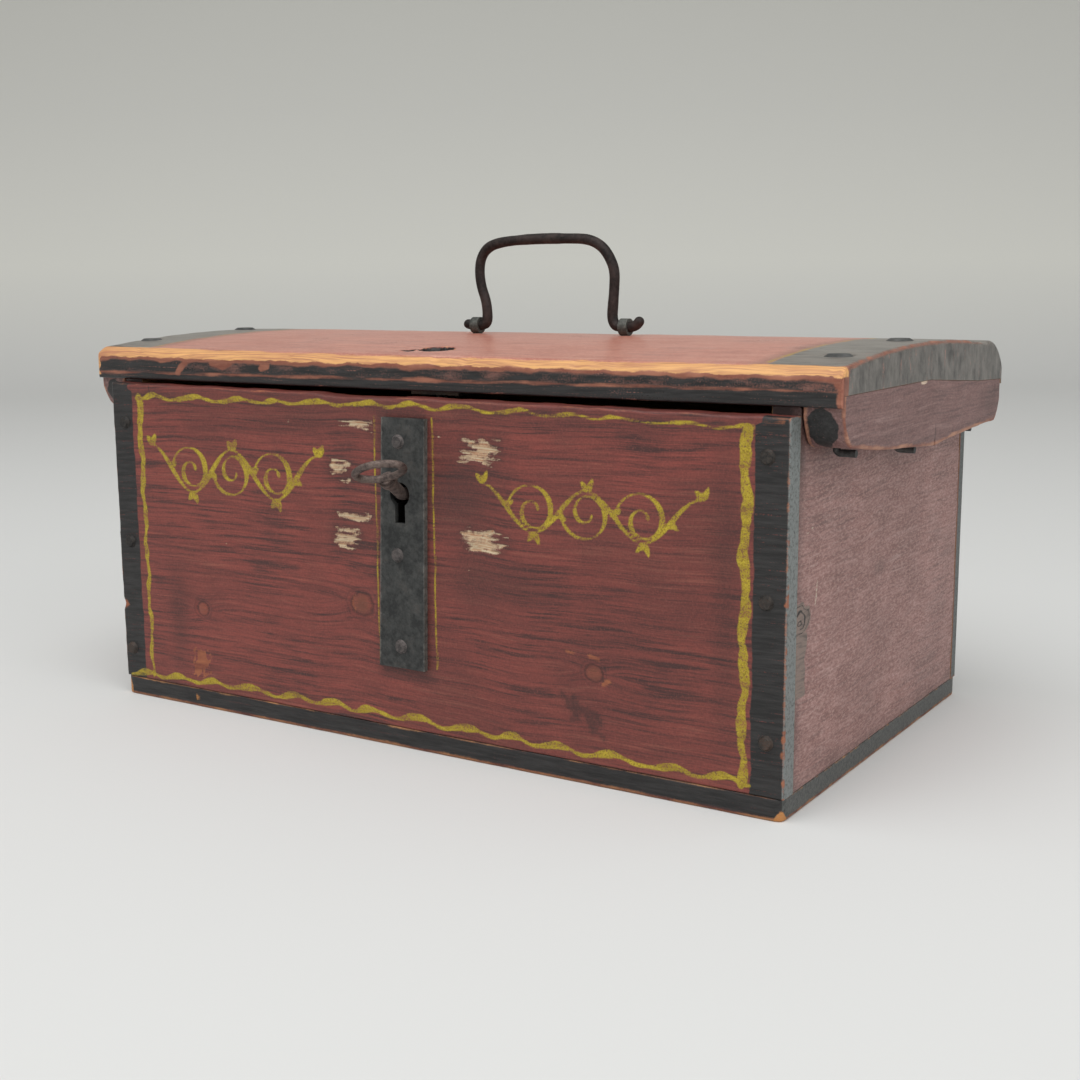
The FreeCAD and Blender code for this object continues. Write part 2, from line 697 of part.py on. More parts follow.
# Holes from below for the lock's staple and the nails of its plate
catch_x = chest.catch_side
catch_front_leg = board_back + chest.catch_setback
catch_middle = catch_front_leg + chest.catch_leg_gap / 2
catch_back_leg = catch_front_leg + chest.catch_leg_gap
catch_legs = [(catch_x, catch_front_leg), (catch_x, catch_back_leg)]
CATCH_NAIL_SHARE = 0.36
catch_nails = [
    (catch_x + chest.catch_plate_length * CATCH_NAIL_SHARE * side, catch_middle)
    for side in (-1, 1)
]
catch_hole_depth = chest.catch_bite + chest.nail_fit + chest.overrun
catch_hole_level = underside(catch_middle) - chest.overrun
drill(lid_body, "catch_holes", "XY_Plane", catch_legs, chest.catch_wire + chest.nail_fit,
      catch_hole_depth, catch_hole_level, 1)
drill(lid_body, "catch_nail_holes", "XY_Plane", catch_nails, case_nail_hole,
      catch_hole_depth, catch_hole_level, 1)

# Slots for the handle's eyes, and slanted holes up from the back edge for the spikes
# of the hinge eyes, which point at the back corner of the crown
crown_z = lid_low + chest.lid_crown
eye_sides = (chest.handle_offset - chest.handle_span / 2, chest.handle_offset + chest.handle_span / 2)
slot_x = chest.eye_leg_width / 2 + chest.slot_fit
slot_y = chest.eye_leg_depth / 2 + chest.slot_fit
lid_cuts = [
    block("handle_slot_%d" % number, (x - slot_x, -slot_y, underside(0) - chest.overrun),
          (x + slot_x, slot_y, crown_z + chest.overrun))
    for number, x in enumerate(eye_sides)
]
aim_y, aim_z = on_lid(LID_TOP_SHARES[1])
spike_way = vector(0, aim_y - hinge_y, aim_z - hinge_z).normalize()
eye_ring = chest.hinge_wire + chest.hinge_fit + chest.hinge_eye_wire
spike_y = hinge_y + eye_ring * spike_way.y
spike_z = hinge_z + eye_ring * spike_way.z
lid_cuts += [
    cylinder("hinge_hole_%d" % number, (side * chest.hinge_side, spike_y, spike_z), spike_way,
             chest.hinge_eye_wire + chest.nail_fit, chest.hinge_spike + chest.nail_fit)
    for number, side in enumerate((-1, 1))
]
lid_board = cut("lid_board", lid_body, lid_cuts)


# Cleats, let up into the lid's ends, with a rounded nose and a worn underside.
# The points are shares of the cleat's depth and of its drop below the lid.

CLEAT_NOSE_SHARES = ((0.0013, 0.074), (0.0265, 0.416), (0.0647, 0.665))
CLEAT_UNDER_SHARES = ((0.0647, 0.665), (0.192, 0.803), (0.528, 1), (0.735, 0.911), (0.9595, 0.855))
CLEAT_HEEL_SHARES = ((0.9933, 0.639), (1, 0.268))


def on_cleat(shares):
    """A point of the cleat's outline from its shares of depth and drop."""
    return cleat_front + cleat_depth * shares[0], lid_low - chest.cleat_drop * shares[1]


def cleat_underside(y):
    """Height of the cleat's underside at y, between the two corners on either side of it."""
    corners = [on_cleat(shares) for shares in CLEAT_UNDER_SHARES]
    for start, end in zip(corners, corners[1:]):
        if float(start[0]) <= float(y) <= float(end[0]):
            return start[1] + (end[1] - start[1]) * ((y - start[0]) / (end[0] - start[0]))
    raise RuntimeError("no cleat above that nail")


cleat_top = [(y, z - chest.cleat_joint) for y, z in rebate_roof]
cleat_top[0] = (cleat_front, cleat_top[0][1])
cleat_top[-1] = (cleat_front + cleat_depth, cleat_top[-1][1])
cleat_top.reverse()

for name, end in (("left_cleat", -1), ("right_cleat", 1)):
    cleat = new_body(name)
    sketch = new_sketch(cleat, "outline", "YZ_Plane", end * lid_end)
    draw_outline(sketch, [
        on_cleat(CLEAT_NOSE_SHARES[0]),
        arc_to(on_cleat(CLEAT_NOSE_SHARES[1]), on_cleat(CLEAT_NOSE_SHARES[2])),
        on_cleat(CLEAT_UNDER_SHARES[1]), on_cleat(CLEAT_UNDER_SHARES[2]),
        on_cleat(CLEAT_UNDER_SHARES[3]), on_cleat(CLEAT_UNDER_SHARES[4]),
        arc_to(on_cleat(CLEAT_HEEL_SHARES[0]), on_cleat(CLEAT_HEEL_SHARES[1])),
    ] + cleat_top)
    pad(cleat, sketch, lid_end - cleat_inside, -end)
    nail_x = left_nail_x if end < 0 else right_nail_x
    drill(cleat, "holes", "XY_Plane", [(nail_x, y) for y, seat in lid_nail_rows], lid_nail_hole)


# Lid nails: driven down through lid and cleat, their ends bent over below

lid_nails = []
lid_nail_bend = chest.lid_nail_radius + chest.clinch_gap
for x in (left_nail_x, right_nail_x):
    for y, seat in lid_nail_rows:
        low = cleat_underside(y) - lid_nail_bend
        corners = [vector(x, y, seat), vector(x, y, low),
                   vector(x + chest.clinch_length, y, low)]
        lid_nails.append(clinched_nail(corners, lid_nail_bend, chest.lid_nail_radius,
                                       (chest.lid_nail_head_radius, chest.lid_nail_head_height)))
made("lid_nails", Part.makeCompound(lid_nails))


# Handle eyes: an iron ring on a flat leg through the lid, split and bent out below

eye_outer = chest.handle_wire + chest.handle_fit + chest.eye_wall
eye_z = crown_z + eye_outer + chest.slot_fit
strip_top = underside(chest.eye_strip) - chest.slot_fit
for name, x in zip(("left_handle_eye", "right_handle_eye"), eye_sides):
    start = x - chest.eye_width / 2
    leg_x = chest.eye_leg_width / 2
    leg_y = chest.eye_leg_depth / 2
    low = strip_top - chest.eye_strip_thickness
    whole = fuse(name + "_forging", [
        cylinder(name + "_ring", (start, 0, eye_z), (1, 0, 0), eye_outer, chest.eye_width),
        block(name + "_leg", (x - leg_x, -leg_y, low), (x + leg_x, leg_y, eye_z)),
        block(name + "_strip", (x - leg_x, -chest.eye_strip, low),
              (x + leg_x, chest.eye_strip, strip_top)),
    ])
    bore = cylinder(name + "_bore", (start - chest.overrun, 0, eye_z), (1, 0, 0),
                    chest.handle_wire + chest.handle_fit, chest.eye_width + chest.overrun * 2)
    cut(name, whole, [bore])


# Handle: one round rod, its ends bent up a little outside the eyes. The corners
# between the eyes are shares of half the span and of the rise, with their bends as
# shares of the rise, followed from left to right.

HANDLE_CORNER_SHARES = (
    (-0.853, 0.141, 0.30), (-1.006, 0.662, 0.195), (-0.812, 0.948, 0.26),
    (-0.310, 1.007, 1.3), (0.331, 0.991, 0.87), (0.694, 0.911, 0.26),
    (0.872, 0.618, 0.26), (0.818, 0.184, 0.35),
)
HANDLE_END_SHARES = ((-0.098, 0.058), (0.205, 0.102))
eye_reach = chest.eye_width / 2 + chest.handle_eye_bend
half_span = chest.handle_span / 2
left_eye, right_eye = eye_sides
handle_corners = [
    vector(left_eye - eye_reach + half_span * HANDLE_END_SHARES[0][0], 0,
           eye_z + chest.handle_rise * HANDLE_END_SHARES[0][1]),
    vector(left_eye - eye_reach, 0, eye_z),
    vector(left_eye + eye_reach, 0, eye_z),
]
handle_bends = [chest.handle_eye_bend, chest.handle_eye_bend]
for across_share, up_share, bend_share in HANDLE_CORNER_SHARES:
    handle_corners.append(vector(chest.handle_offset + half_span * across_share, 0,
                                 eye_z + chest.handle_rise * up_share))
    handle_bends.append(chest.handle_rise * bend_share)
handle_corners += [
    vector(right_eye - eye_reach, 0, eye_z),
    vector(right_eye + eye_reach, 0, eye_z),
    vector(right_eye + eye_reach + half_span * HANDLE_END_SHARES[1][0], 0,
           eye_z + chest.handle_rise * HANDLE_END_SHARES[1][1]),
]
handle_bends += [chest.handle_eye_bend, chest.handle_eye_bend]
made("handle", bent_rod(handle_corners, handle_bends, chest.handle_wire))


# Lock plate: a long hand-cut sheet that leans a little, with the keyhole

lock_plate = new_body("lock_plate")
sketch = new_sketch(lock_plate, "outline", "XZ_Plane", front_y)
draw_outline(sketch, [
    (-chest.plate_foot_shift - chest.plate_foot_width / 2, plate_foot),
    (chest.plate_foot_width / 2 - chest.plate_foot_shift, plate_foot),
    (chest.plate_top_shift + chest.plate_top_width / 2, plate_top),
    (chest.plate_top_shift - chest.plate_top_width / 2, plate_top),
])
pad(lock_plate, sketch, chest.plate_thickness, -1)
drill(lock_plate, "keyhole", "XZ_Plane", [(0, key_z)], chest.keyhole_radius)
sketch = new_sketch(lock_plate, "slot", "XZ_Plane")
draw_outline(sketch, rectangle(-chest.keyhole_slot / 2, chest.keyhole_slot / 2,
                               key_z - chest.keyhole_drop, key_z))
pocket(lock_plate, sketch)
drill(lock_plate, "nail_holes", "XZ_Plane", plate_nails, plate_nail_hole)

plate_nail_bend = chest.plate_nail_radius + chest.clinch_gap
plate_nail_solids = []
for x, z in plate_nails:
    tail_y = board_back + plate_nail_bend
    corners = [vector(x, front_y - chest.plate_thickness, z), vector(x, tail_y, z),
               vector(x - chest.clinch_length, tail_y, z)]
    plate_nail_solids.append(clinched_nail(
        corners, plate_nail_bend, chest.plate_nail_radius,
        (chest.plate_nail_head_radius, chest.plate_nail_head_height)))
made("lock_plate_nails", Part.makeCompound(plate_nail_solids))


# Lock inside: a plate against the front board, and on it a sheet-iron case that is
# open towards the plate, slotted on top for the lid's staple

lock_back_plate = new_body("lock_back_plate")
sketch = new_sketch(lock_back_plate, "outline", "XZ_Plane", board_back)
draw_outline(sketch, rectangle(
    -chest.case_left - chest.case_ear, chest.case_right + chest.case_ear,
    back_plate_low, back_plate_high))
pad(lock_back_plate, sketch, chest.back_plate, 1)
drill(lock_back_plate, "keyhole", "XZ_Plane", [(0, key_z)], chest.back_keyhole_radius)
sketch = new_sketch(lock_back_plate, "slot", "XZ_Plane")
slot_half = chest.keyhole_slot / 2
draw_outline(sketch, rectangle(-slot_half, slot_half, key_z - chest.keyhole_drop, key_z))
pocket(lock_back_plate, sketch)
drill(lock_back_plate, "nail_holes", "XZ_Plane", case_nails, case_nail_hole)

pivot_x = chest.latch_side
pivot_z = key_z - chest.latch_below
STUD_SIDE_SHARE = 0.9
STUD_HEIGHT_SHARE = 0.857
stud_x = chest.case_right * STUD_SIDE_SHARE
stud_z = key_z - chest.case_below * STUD_HEIGHT_SHARE
key_post_radius = chest.key_bore - chest.key_post_fit
rivets = (
    ("latch_pivot", pivot_x, pivot_z, chest.latch_pivot_radius, plate_back),
    ("key_post", 0, key_z, key_post_radius, plate_back - chest.key_end_gap),
    ("spring_stud", stud_x, stud_z, chest.spring_stud_radius, plate_back + chest.key_end_gap),
)

lock_case = new_body("lock_case")
sketch = new_sketch(lock_case, "outline", "XZ_Plane", plate_back)
draw_outline(sketch, rectangle(-chest.case_left, chest.case_right, case_low, case_high))
pad(lock_case, sketch, chest.case_depth, 1)
sketch = new_sketch(lock_case, "ears", "XZ_Plane", plate_back)
draw_outline(sketch, rectangle(-chest.case_left - chest.case_ear,
                               chest.case_right + chest.case_ear, case_low, case_high))
pad(lock_case, sketch, chest.case_wall, 1)
sketch = new_sketch(lock_case, "hollow", "XZ_Plane", plate_back)
draw_outline(sketch, rectangle(
    chest.case_wall - chest.case_left, chest.case_right - chest.case_wall,
    case_low + chest.case_wall, case_high - chest.case_wall))
pocket(lock_case, sketch, chest.case_depth - chest.case_wall, 1)
sketch = new_sketch(lock_case, "top_slot", "XY_Plane", case_high + chest.overrun)
draw_outline(sketch, rectangle(catch_x - chest.catch_slot / 2, catch_x + chest.catch_slot / 2,
                               plate_back, case_inside))
pocket(lock_case, sketch, chest.case_wall + chest.overrun, -1)
drill(lock_case, "nail_holes", "XZ_Plane", case_nails, case_nail_hole)
for tag, x, z, radius, start in rivets:
    drill(lock_case, tag + "_hole", "XZ_Plane", [(x, z)], radius + chest.nail_fit)

group("lock_case_nails", [
    nail("case_nail_%d" % number, (x, plate_back + chest.case_wall, z), (0, -1, 0),
         (chest.case_nail_head_radius, chest.case_nail_head_height), chest.case_nail_radius,
         chest.case_wall + chest.back_plate + chest.case_nail_depth - chest.nail_fit)
    for number, (x, z) in enumerate(case_nails)
])

# Rivets that stand on the case's wall: the latch's pivot, the post that fits the
# key's bore, and the slotted stud of the spring
for name, x, z, radius, start in rivets:
    shank = cylinder(name + "_shank", (x, start, z), (0, 1, 0), radius, case_outside - start)
    head = cylinder(name + "_head", (x, case_outside, z), (0, 1, 0),
                    radius + chest.rivet_head, chest.rivet_head_height)
    rivet = fuse(name + "_rivet", [shank, head])
    if name != "spring_stud":
        rivet.Label = name

# Spring: a thin leaf held upright in the stud's slot, its free end beside the latch

LATCH_ARM_SHARE = 0.206
LATCH_TOUCH_SHARE = 0.82
leaf_top_x = (pivot_x + chest.latch_height * LATCH_ARM_SHARE + chest.spring_gap
              + chest.spring_thickness / 2)
leaf_top_z = pivot_z + chest.latch_height * LATCH_TOUCH_SHARE
leaf_turn = math.degrees(math.atan2(float(leaf_top_x - stud_x), float(leaf_top_z - stud_z)))
leaf_middle = plate_back + chest.key_end_gap + chest.spring_width / 2
leaf_length = math.hypot(float(leaf_top_x - stud_x), float(leaf_top_z - stud_z))
lean = FreeCAD.Rotation(FreeCAD.Vector(0, 1, 0), leaf_turn)


def leaning_bar(half_thickness, half_width, low, high):
    """A thin bar through the stud's axis, leaning as the spring does."""
    bar = Part.makeBox(float(half_thickness) * 2, float(half_width) * 2, float(high) - float(low))
    bar.translate(vector(-half_thickness, -half_width, low))
    stand = FreeCAD.Placement(vector(stud_x, leaf_middle, stud_z), lean)
    return bar.transformed(stand.toMatrix())


made("latch_spring", leaning_bar(
    chest.spring_thickness / 2, chest.spring_width / 2, -chest.spring_stud_radius, leaf_length))
slot_cutter = made("stud_slot", leaning_bar(
    chest.spring_thickness / 2 + chest.spring_fit, chest.spring_width / 2 + chest.spring_fit,
    -chest.spring_stud_radius - chest.overrun, chest.spring_stud_radius + chest.overrun))
cut("spring_stud", doc.getObject("spring_stud_rivet"), [slot_cutter])


# Latch: a flat hook on its pivot. Its nose enters the lid's staple, and the key's bit
# lifts its tail. The outline is in shares of the height from pivot to top.

LATCH_SHARES = (
    (-0.18, -0.18), (LATCH_ARM_SHARE, -0.18), (LATCH_ARM_SHARE, 0.923), (0.086, 1),
    (-0.494, 1), (-0.494, 0.828), (-0.094, 0.828), (-0.094, 0.386),
    (-0.6, 0.403), (-0.747, 0.395), (-0.747, 0.2425), (-0.554, 0.2275),
)
latch_front = plate_back + chest.latch_setback
latch_hook = new_body("latch_hook")
sketch = new_sketch(latch_hook, "outline", "XZ_Plane", latch_front)
draw_outline(sketch, [
    (pivot_x + chest.latch_height * across_share, pivot_z + chest.latch_height * up_share)
    for across_share, up_share in LATCH_SHARES
])
pad(latch_hook, sketch, chest.latch_thickness, 1)
drill(latch_hook, "pivot_hole", "XZ_Plane", [(pivot_x, pivot_z)],
      chest.latch_pivot_radius + chest.latch_pivot_fit)


# Key: a pipe key in the lock, its neck bent up and to the right, with an oval bow

KEY_LEAN_UP = 32.0
KEY_LEAN_RIGHT = 9.3
KEY_BOW_ROLL = 20.0
KEY_BIT_DROP = 4.0
NECK_BEND_SHARE = 2.0
COLLAR_PLACE_SHARE = 0.55
up = math.radians(KEY_LEAN_UP)
right = math.radians(KEY_LEAN_RIGHT)
roll = math.radians(KEY_BOW_ROLL)
neck_way = FreeCAD.Vector(math.sin(right), -math.cos(right) * math.cos(up),
                          math.cos(right) * math.sin(up))
level = FreeCAD.Vector(math.cos(right), math.sin(right) * math.cos(up),
                       -math.sin(right) * math.sin(up))
bow_normal = FreeCAD.Vector(0, math.sin(up), math.cos(up))
bow_across = level * math.cos(roll) + bow_normal * math.sin(roll)

key_end_y = case_inside - chest.key_end_gap
neck_start = vector(0, front_y - chest.key_bend_out, key_z)
bow_middle = neck_start + neck_way * float(chest.key_neck)
half_width = float(chest.key_bow_half_width)
half_height = float(chest.key_bow_half_height)
end_radius = float(chest.key_bow_end_radius)
side_radius = (((half_width - end_radius) ** 2 + half_height ** 2 - end_radius ** 2)
               / (2 * (half_height - end_radius)))


def in_bow(across, along):
    """A point of the bow's plane from its middle."""
    return bow_middle + bow_across * across + neck_way * along


# The bow's four arcs meet where the line through two of their centres cuts them
reach = side_radius - end_radius
meet_across = (half_width - end_radius) * (1 + end_radius / reach)
meet_along = (side_radius - half_height) * end_radius / reach
bow_arcs = [
    Part.Arc(in_bow(meet_across, -meet_along), in_bow(half_width, 0),
             in_bow(meet_across, meet_along)),
    Part.Arc(in_bow(meet_across, meet_along), in_bow(0, half_height),
             in_bow(-meet_across, meet_along)),
    Part.Arc(in_bow(-meet_across, meet_along), in_bow(-half_width, 0),
             in_bow(-meet_across, -meet_along)),
    Part.Arc(in_bow(-meet_across, -meet_along), in_bow(0, -half_height),
             in_bow(meet_across, -meet_along)),
]
bow_path = Part.Wire([arc.toShape() for arc in bow_arcs])
bow_section = Part.Circle(in_bow(meet_across, -meet_along),
                          bow_arcs[0].tangent(bow_arcs[0].FirstParameter)[0],
                          float(chest.key_bow_wire))
bow = bow_path.makePipeShell([Part.Wire(bow_section.toShape())], True, False)

neck_end = bow_middle - neck_way * half_height
neck = bent_rod([vector(0, key_end_y, key_z), neck_start, neck_end],
                [chest.key_radius * NECK_BEND_SHARE], chest.key_radius)
collar_place = neck_start + neck_way * (float(chest.key_neck) * COLLAR_PLACE_SHARE)
collar = Part.makeCylinder(float(chest.key_collar_radius), float(chest.key_collar_width),
                           collar_place, neck_way)
bit = Part.makeBox(float(chest.key_bit_reach), float(chest.key_bit_width),
                   float(chest.key_bit_thickness))
bit.translate(vector(0, key_end_y - chest.key_end_gap - chest.key_bit_width,
                     -chest.key_bit_thickness / 2))
bit.rotate(FreeCAD.Vector(0, 0, 0), FreeCAD.Vector(0, 1, 0), KEY_BIT_DROP)
bit.translate(vector(0, 0, key_z))
bore = Part.makeCylinder(float(chest.key_bore), float(chest.key_bore_depth + chest.overrun),
                         vector(0, key_end_y - chest.key_bore_depth, key_z),
                         FreeCAD.Vector(0, 1, 0))
made("key", neck.multiFuse([bow, collar, bit]).cut(bore))


# Staple under the lid, its plate, and the plate's two nails

catch_low = key_z + chest.catch_crown_rise
catch_high = underside(catch_middle) + chest.catch_bite
catch_turn = catch_low + chest.catch_leg_gap / 2
catch_path = Part.Wire([
    Part.LineSegment(vector(catch_x, catch_front_leg, catch_high),
                     vector(catch_x, catch_front_leg, catch_turn)).toShape(),
    Part.Arc(vector(catch_x, catch_front_leg, catch_turn),
             vector(catch_x, catch_middle, catch_low),
             vector(catch_x, catch_back_leg, catch_turn)).toShape(),
    Part.LineSegment(vector(catch_x, catch_back_leg, catch_turn),
                     vector(catch_x, catch_back_leg, catch_high)).toShape(),
])
catch_section = Part.Circle(vector(catch_x, catch_front_leg, catch_high),
                            FreeCAD.Vector(0, 0, 1), float(chest.catch_wire))
made("lid_staple", catch_path.makePipeShell([Part.Wire(catch_section.toShape())], True, False))

staple_plate = new_body("staple_plate")
catch_plate_front = catch_middle - chest.catch_plate_width / 2
catch_plate_back = catch_middle + chest.catch_plate_width / 2
catch_plate_top = underside(catch_plate_back) - chest.catch_plate_gap
sketch = new_sketch(staple_plate, "outline", "XY_Plane", catch_plate_top)
draw_outline(sketch, rectangle(catch_x - chest.catch_plate_length / 2,
                               catch_x + chest.catch_plate_length / 2,
                               catch_plate_front, catch_plate_back))
pad(staple_plate, sketch, chest.catch_plate_thickness, -1)
drill(staple_plate, "leg_holes", "XY_Plane", catch_legs, chest.catch_wire + chest.nail_fit)
drill(staple_plate, "nail_holes", "XY_Plane", catch_nails, case_nail_hole)
plate_under = catch_plate_top - chest.catch_plate_thickness
group("staple_plate_nails", [
    nail("plate_nail_%d" % number, (x, y, plate_under), (0, 0, 1),
         (chest.case_nail_head_radius, chest.case_nail_head_height), chest.case_nail_radius,
         chest.catch_bite)
    for number, (x, y) in enumerate(catch_nails)
])


# Hinges: a wire staple through the back board, clinched inside, and on it an eye
# whose pointed shank is driven slantwise up into the lid's back edge

inside_bend = chest.hinge_wire + chest.hinge_clinch_gap
clinch_y = back_inside - inside_bend
for name, side in (("left_hinge", -1), ("right_hinge", 1)):
    middle = side * chest.hinge_side
    left_leg = middle - chest.hinge_staple_width / 2
    right_leg = middle + chest.hinge_staple_width / 2
    made(name + "_staple", bent_rod([
        vector(left_leg, clinch_y, hinge_leg_z - chest.hinge_clinch),
        vector(left_leg, clinch_y, hinge_leg_z),
        vector(left_leg, hinge_y, hinge_leg_z),
        vector(left_leg, hinge_y, hinge_z),
        vector(right_leg, hinge_y, hinge_z),
        vector(right_leg, hinge_y, hinge_leg_z),
        vector(right_leg, clinch_y, hinge_leg_z),
        vector(right_leg, clinch_y, hinge_leg_z - chest.hinge_clinch),
    ], [inside_bend] + [chest.hinge_bend] * 4 + [inside_bend], chest.hinge_wire))
    ring = doc.addObject("Part::Torus", name + "_ring")
    ring.setExpression("Radius1", eye_ring.text)
    ring.setExpression("Radius2", chest.hinge_eye_wire.text)
    put(ring, (middle, hinge_y, hinge_z), (1, 0, 0))
    tip = chest.hinge_eye_wire * NAIL_TIP_LENGTHS
    spike = put(fuse(name + "_spike", [
        cylinder(name + "_shank", (0, 0, 0), None, chest.hinge_eye_wire,
                 chest.hinge_spike - tip),
        cone(name + "_point", (0, 0, chest.hinge_spike - tip), chest.hinge_eye_wire,
             chest.hinge_eye_wire * NAIL_TIP_SHARE, tip),
    ]), (middle, spike_y, spike_z), spike_way)
    fuse(name + "_eye", [ring, spike])


# Write every piece to its own file

NODES = (
    "bottom_board", "front_board", "back_board", "left_side_board", "right_side_board",
    "front_nails", "back_nails", "bottom_nails", "lid_board", "left_cleat", "right_cleat",
    "lid_nails", "left_handle_eye", "right_handle_eye", "handle", "lock_plate",
    "lock_plate_nails", "lock_back_plate", "lock_case", "lock_case_nails", "latch_pivot",
    "key_post", "spring_stud", "latch_spring", "latch_hook", "key", "lid_staple",
    "staple_plate", "staple_plate_nails", "left_hinge_staple", "left_hinge_eye",
    "right_hinge_staple", "right_hinge_eye",
)
doc.recompute()
for item in doc.Objects:
    if "Invalid" in item.State or "Error" in item.State:
        raise RuntimeError(item.Name + " did not compute")
pieces = [(name, doc.getObjectsByLabel(name)[0]) for name in NODES]
for name, piece in pieces:
    if piece.Shape.isNull() or not piece.Shape.isValid():
        raise RuntimeError(name + " has no valid shape")
os.makedirs("parts", exist_ok=True)
for name, piece in pieces:
    piece.Shape.exportStep(os.path.join("parts", name + ".step"))
    print(name, len(piece.Shape.Solids), round(piece.Shape.Volume, 1))
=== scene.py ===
import math

import bpy
import numpy as np
from mathutils import Matrix, Vector


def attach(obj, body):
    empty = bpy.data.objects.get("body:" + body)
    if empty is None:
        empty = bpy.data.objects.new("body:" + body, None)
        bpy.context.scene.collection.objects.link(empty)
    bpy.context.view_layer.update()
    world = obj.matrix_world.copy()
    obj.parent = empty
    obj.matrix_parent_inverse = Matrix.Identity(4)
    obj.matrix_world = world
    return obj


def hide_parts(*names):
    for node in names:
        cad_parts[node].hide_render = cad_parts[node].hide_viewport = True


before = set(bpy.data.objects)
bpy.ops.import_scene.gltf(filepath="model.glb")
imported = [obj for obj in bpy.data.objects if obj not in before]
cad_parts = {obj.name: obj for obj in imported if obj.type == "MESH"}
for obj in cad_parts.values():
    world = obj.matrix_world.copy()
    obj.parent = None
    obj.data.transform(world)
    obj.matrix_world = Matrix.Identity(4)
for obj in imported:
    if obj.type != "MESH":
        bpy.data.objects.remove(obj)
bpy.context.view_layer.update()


# Bottom board: one flat pine board under the four walls, nailed up into them. Its
# edges were painted black with the box's border, and its arrises are worn to the wood.

MM = 0.001
HALF_LENGTH = 200.0
FRONT = -118.5
BACK = 118.5
BOTTOM_TOP = 10.2
FAR_AWAY = 99.0


class Socket:
    """One output of a material's nodes. Arithmetic on it adds Math nodes beside it."""

    def __init__(self, output):
        self.output = output

    def node(self, kind, inputs, output=0, stops=None, **settings):
        """Any other node: settings and ramp stops first, then values or links of its inputs."""
        made = self.output.id_data.nodes.new(kind)
        for name, value in settings.items():
            setattr(made, name, value)
        if stops:
            ramp = made.color_ramp.elements
            while len(ramp) < len(stops):
                ramp.new(0.5)
            for element, (place, colour) in zip(ramp, stops):
                element.position = place
                element.color = colour
        for key, value in inputs.items():
            feed(made.inputs[key], value)
        return Socket(made.outputs[output])

    def math(self, operation, *values):
        return self.node("ShaderNodeMath", dict(enumerate(values)), operation=operation)

    def clamped(self):
        return self.node("ShaderNodeClamp", {0: self})

    def __abs__(self):
        return self.math("ABSOLUTE", self)

    def __add__(self, other):
        return self.math("ADD", self, other)

    def __sub__(self, other):
        return self.math("SUBTRACT", self, other)

    def __rsub__(self, other):
        return self.math("SUBTRACT", other, self)

    def __mul__(self, other):
        return self.math("MULTIPLY", self, other)

    def __truediv__(self, other):
        return self.math("DIVIDE", self, other)

    __radd__ = __add__
    __rmul__ = __mul__


def feed(target, value):
    """Link a socket to an input, or set the input's own value."""
    if isinstance(value, Socket):
        target.id_data.links.new(value.output, target)
    else:
        target.default_value = value


def tone(red, green, blue):
    """A colour as it is seen, turned to linear light: each part to the power 2.2."""
    return red ** 2.2, green ** 2.2, blue ** 2.2, 1.0


def new_finish(name):
    """A new material: itself, its shader, and its object coordinates in millimetres."""
    material = bpy.data.materials.new(name)
    material.use_nodes = True
    nodes = material.node_tree.nodes
    nodes.clear()
    out = nodes.new("ShaderNodeOutputMaterial")
    shader = nodes.new("ShaderNodeBsdfPrincipled")
    material.node_tree.links.new(shader.outputs[0], out.inputs[0])
    place = Socket(nodes.new("ShaderNodeTexCoord").outputs["Object"])
    return material, shader, stretched(place, 1 / MM, 1 / MM, 1 / MM)


def stretched(place, across, deep, up):
    """A place times three numbers, one for each direction."""
    return place.node("ShaderNodeVectorMath", {0: place, 1: (across, deep, up)},
                      operation="MULTIPLY")


def noise(place, scale, detail=4.0, roughness=0.6):
    """Cloudy noise between 0 and 1 at a place."""
    return place.node("ShaderNodeTexNoise", {
        "Vector": place, "Scale": scale, "Detail": detail, "Roughness": roughness})


def blended(share, first, second):
    """A colour that goes from the first to the second as share goes from 0 to 1."""
    return share.node("ShaderNodeMix", {0: share, 6: first, 7: second}, 2, data_type="RGBA")


def above(value, level, soft):
    """0 below a level and 1 above it, with a slope of the given width."""
    return ((value - level) / soft + 0.5).clamped()


def covered(distance, cloud, ragged, soft):
    """1 where a signed distance in mm is below 0, its border made ragged by a noise."""
    return (0.5 - (distance + (cloud - 0.5) * ragged) / soft).clamped()


def dented(shader, height, strength, deep):
    """Bump a shader's surface by a height, of which 1 stands for a depth in metres."""
    feed(shader.inputs["Normal"], height.node(
        "ShaderNodeBump", {"Strength": strength, "Distance": deep, "Height": height}))


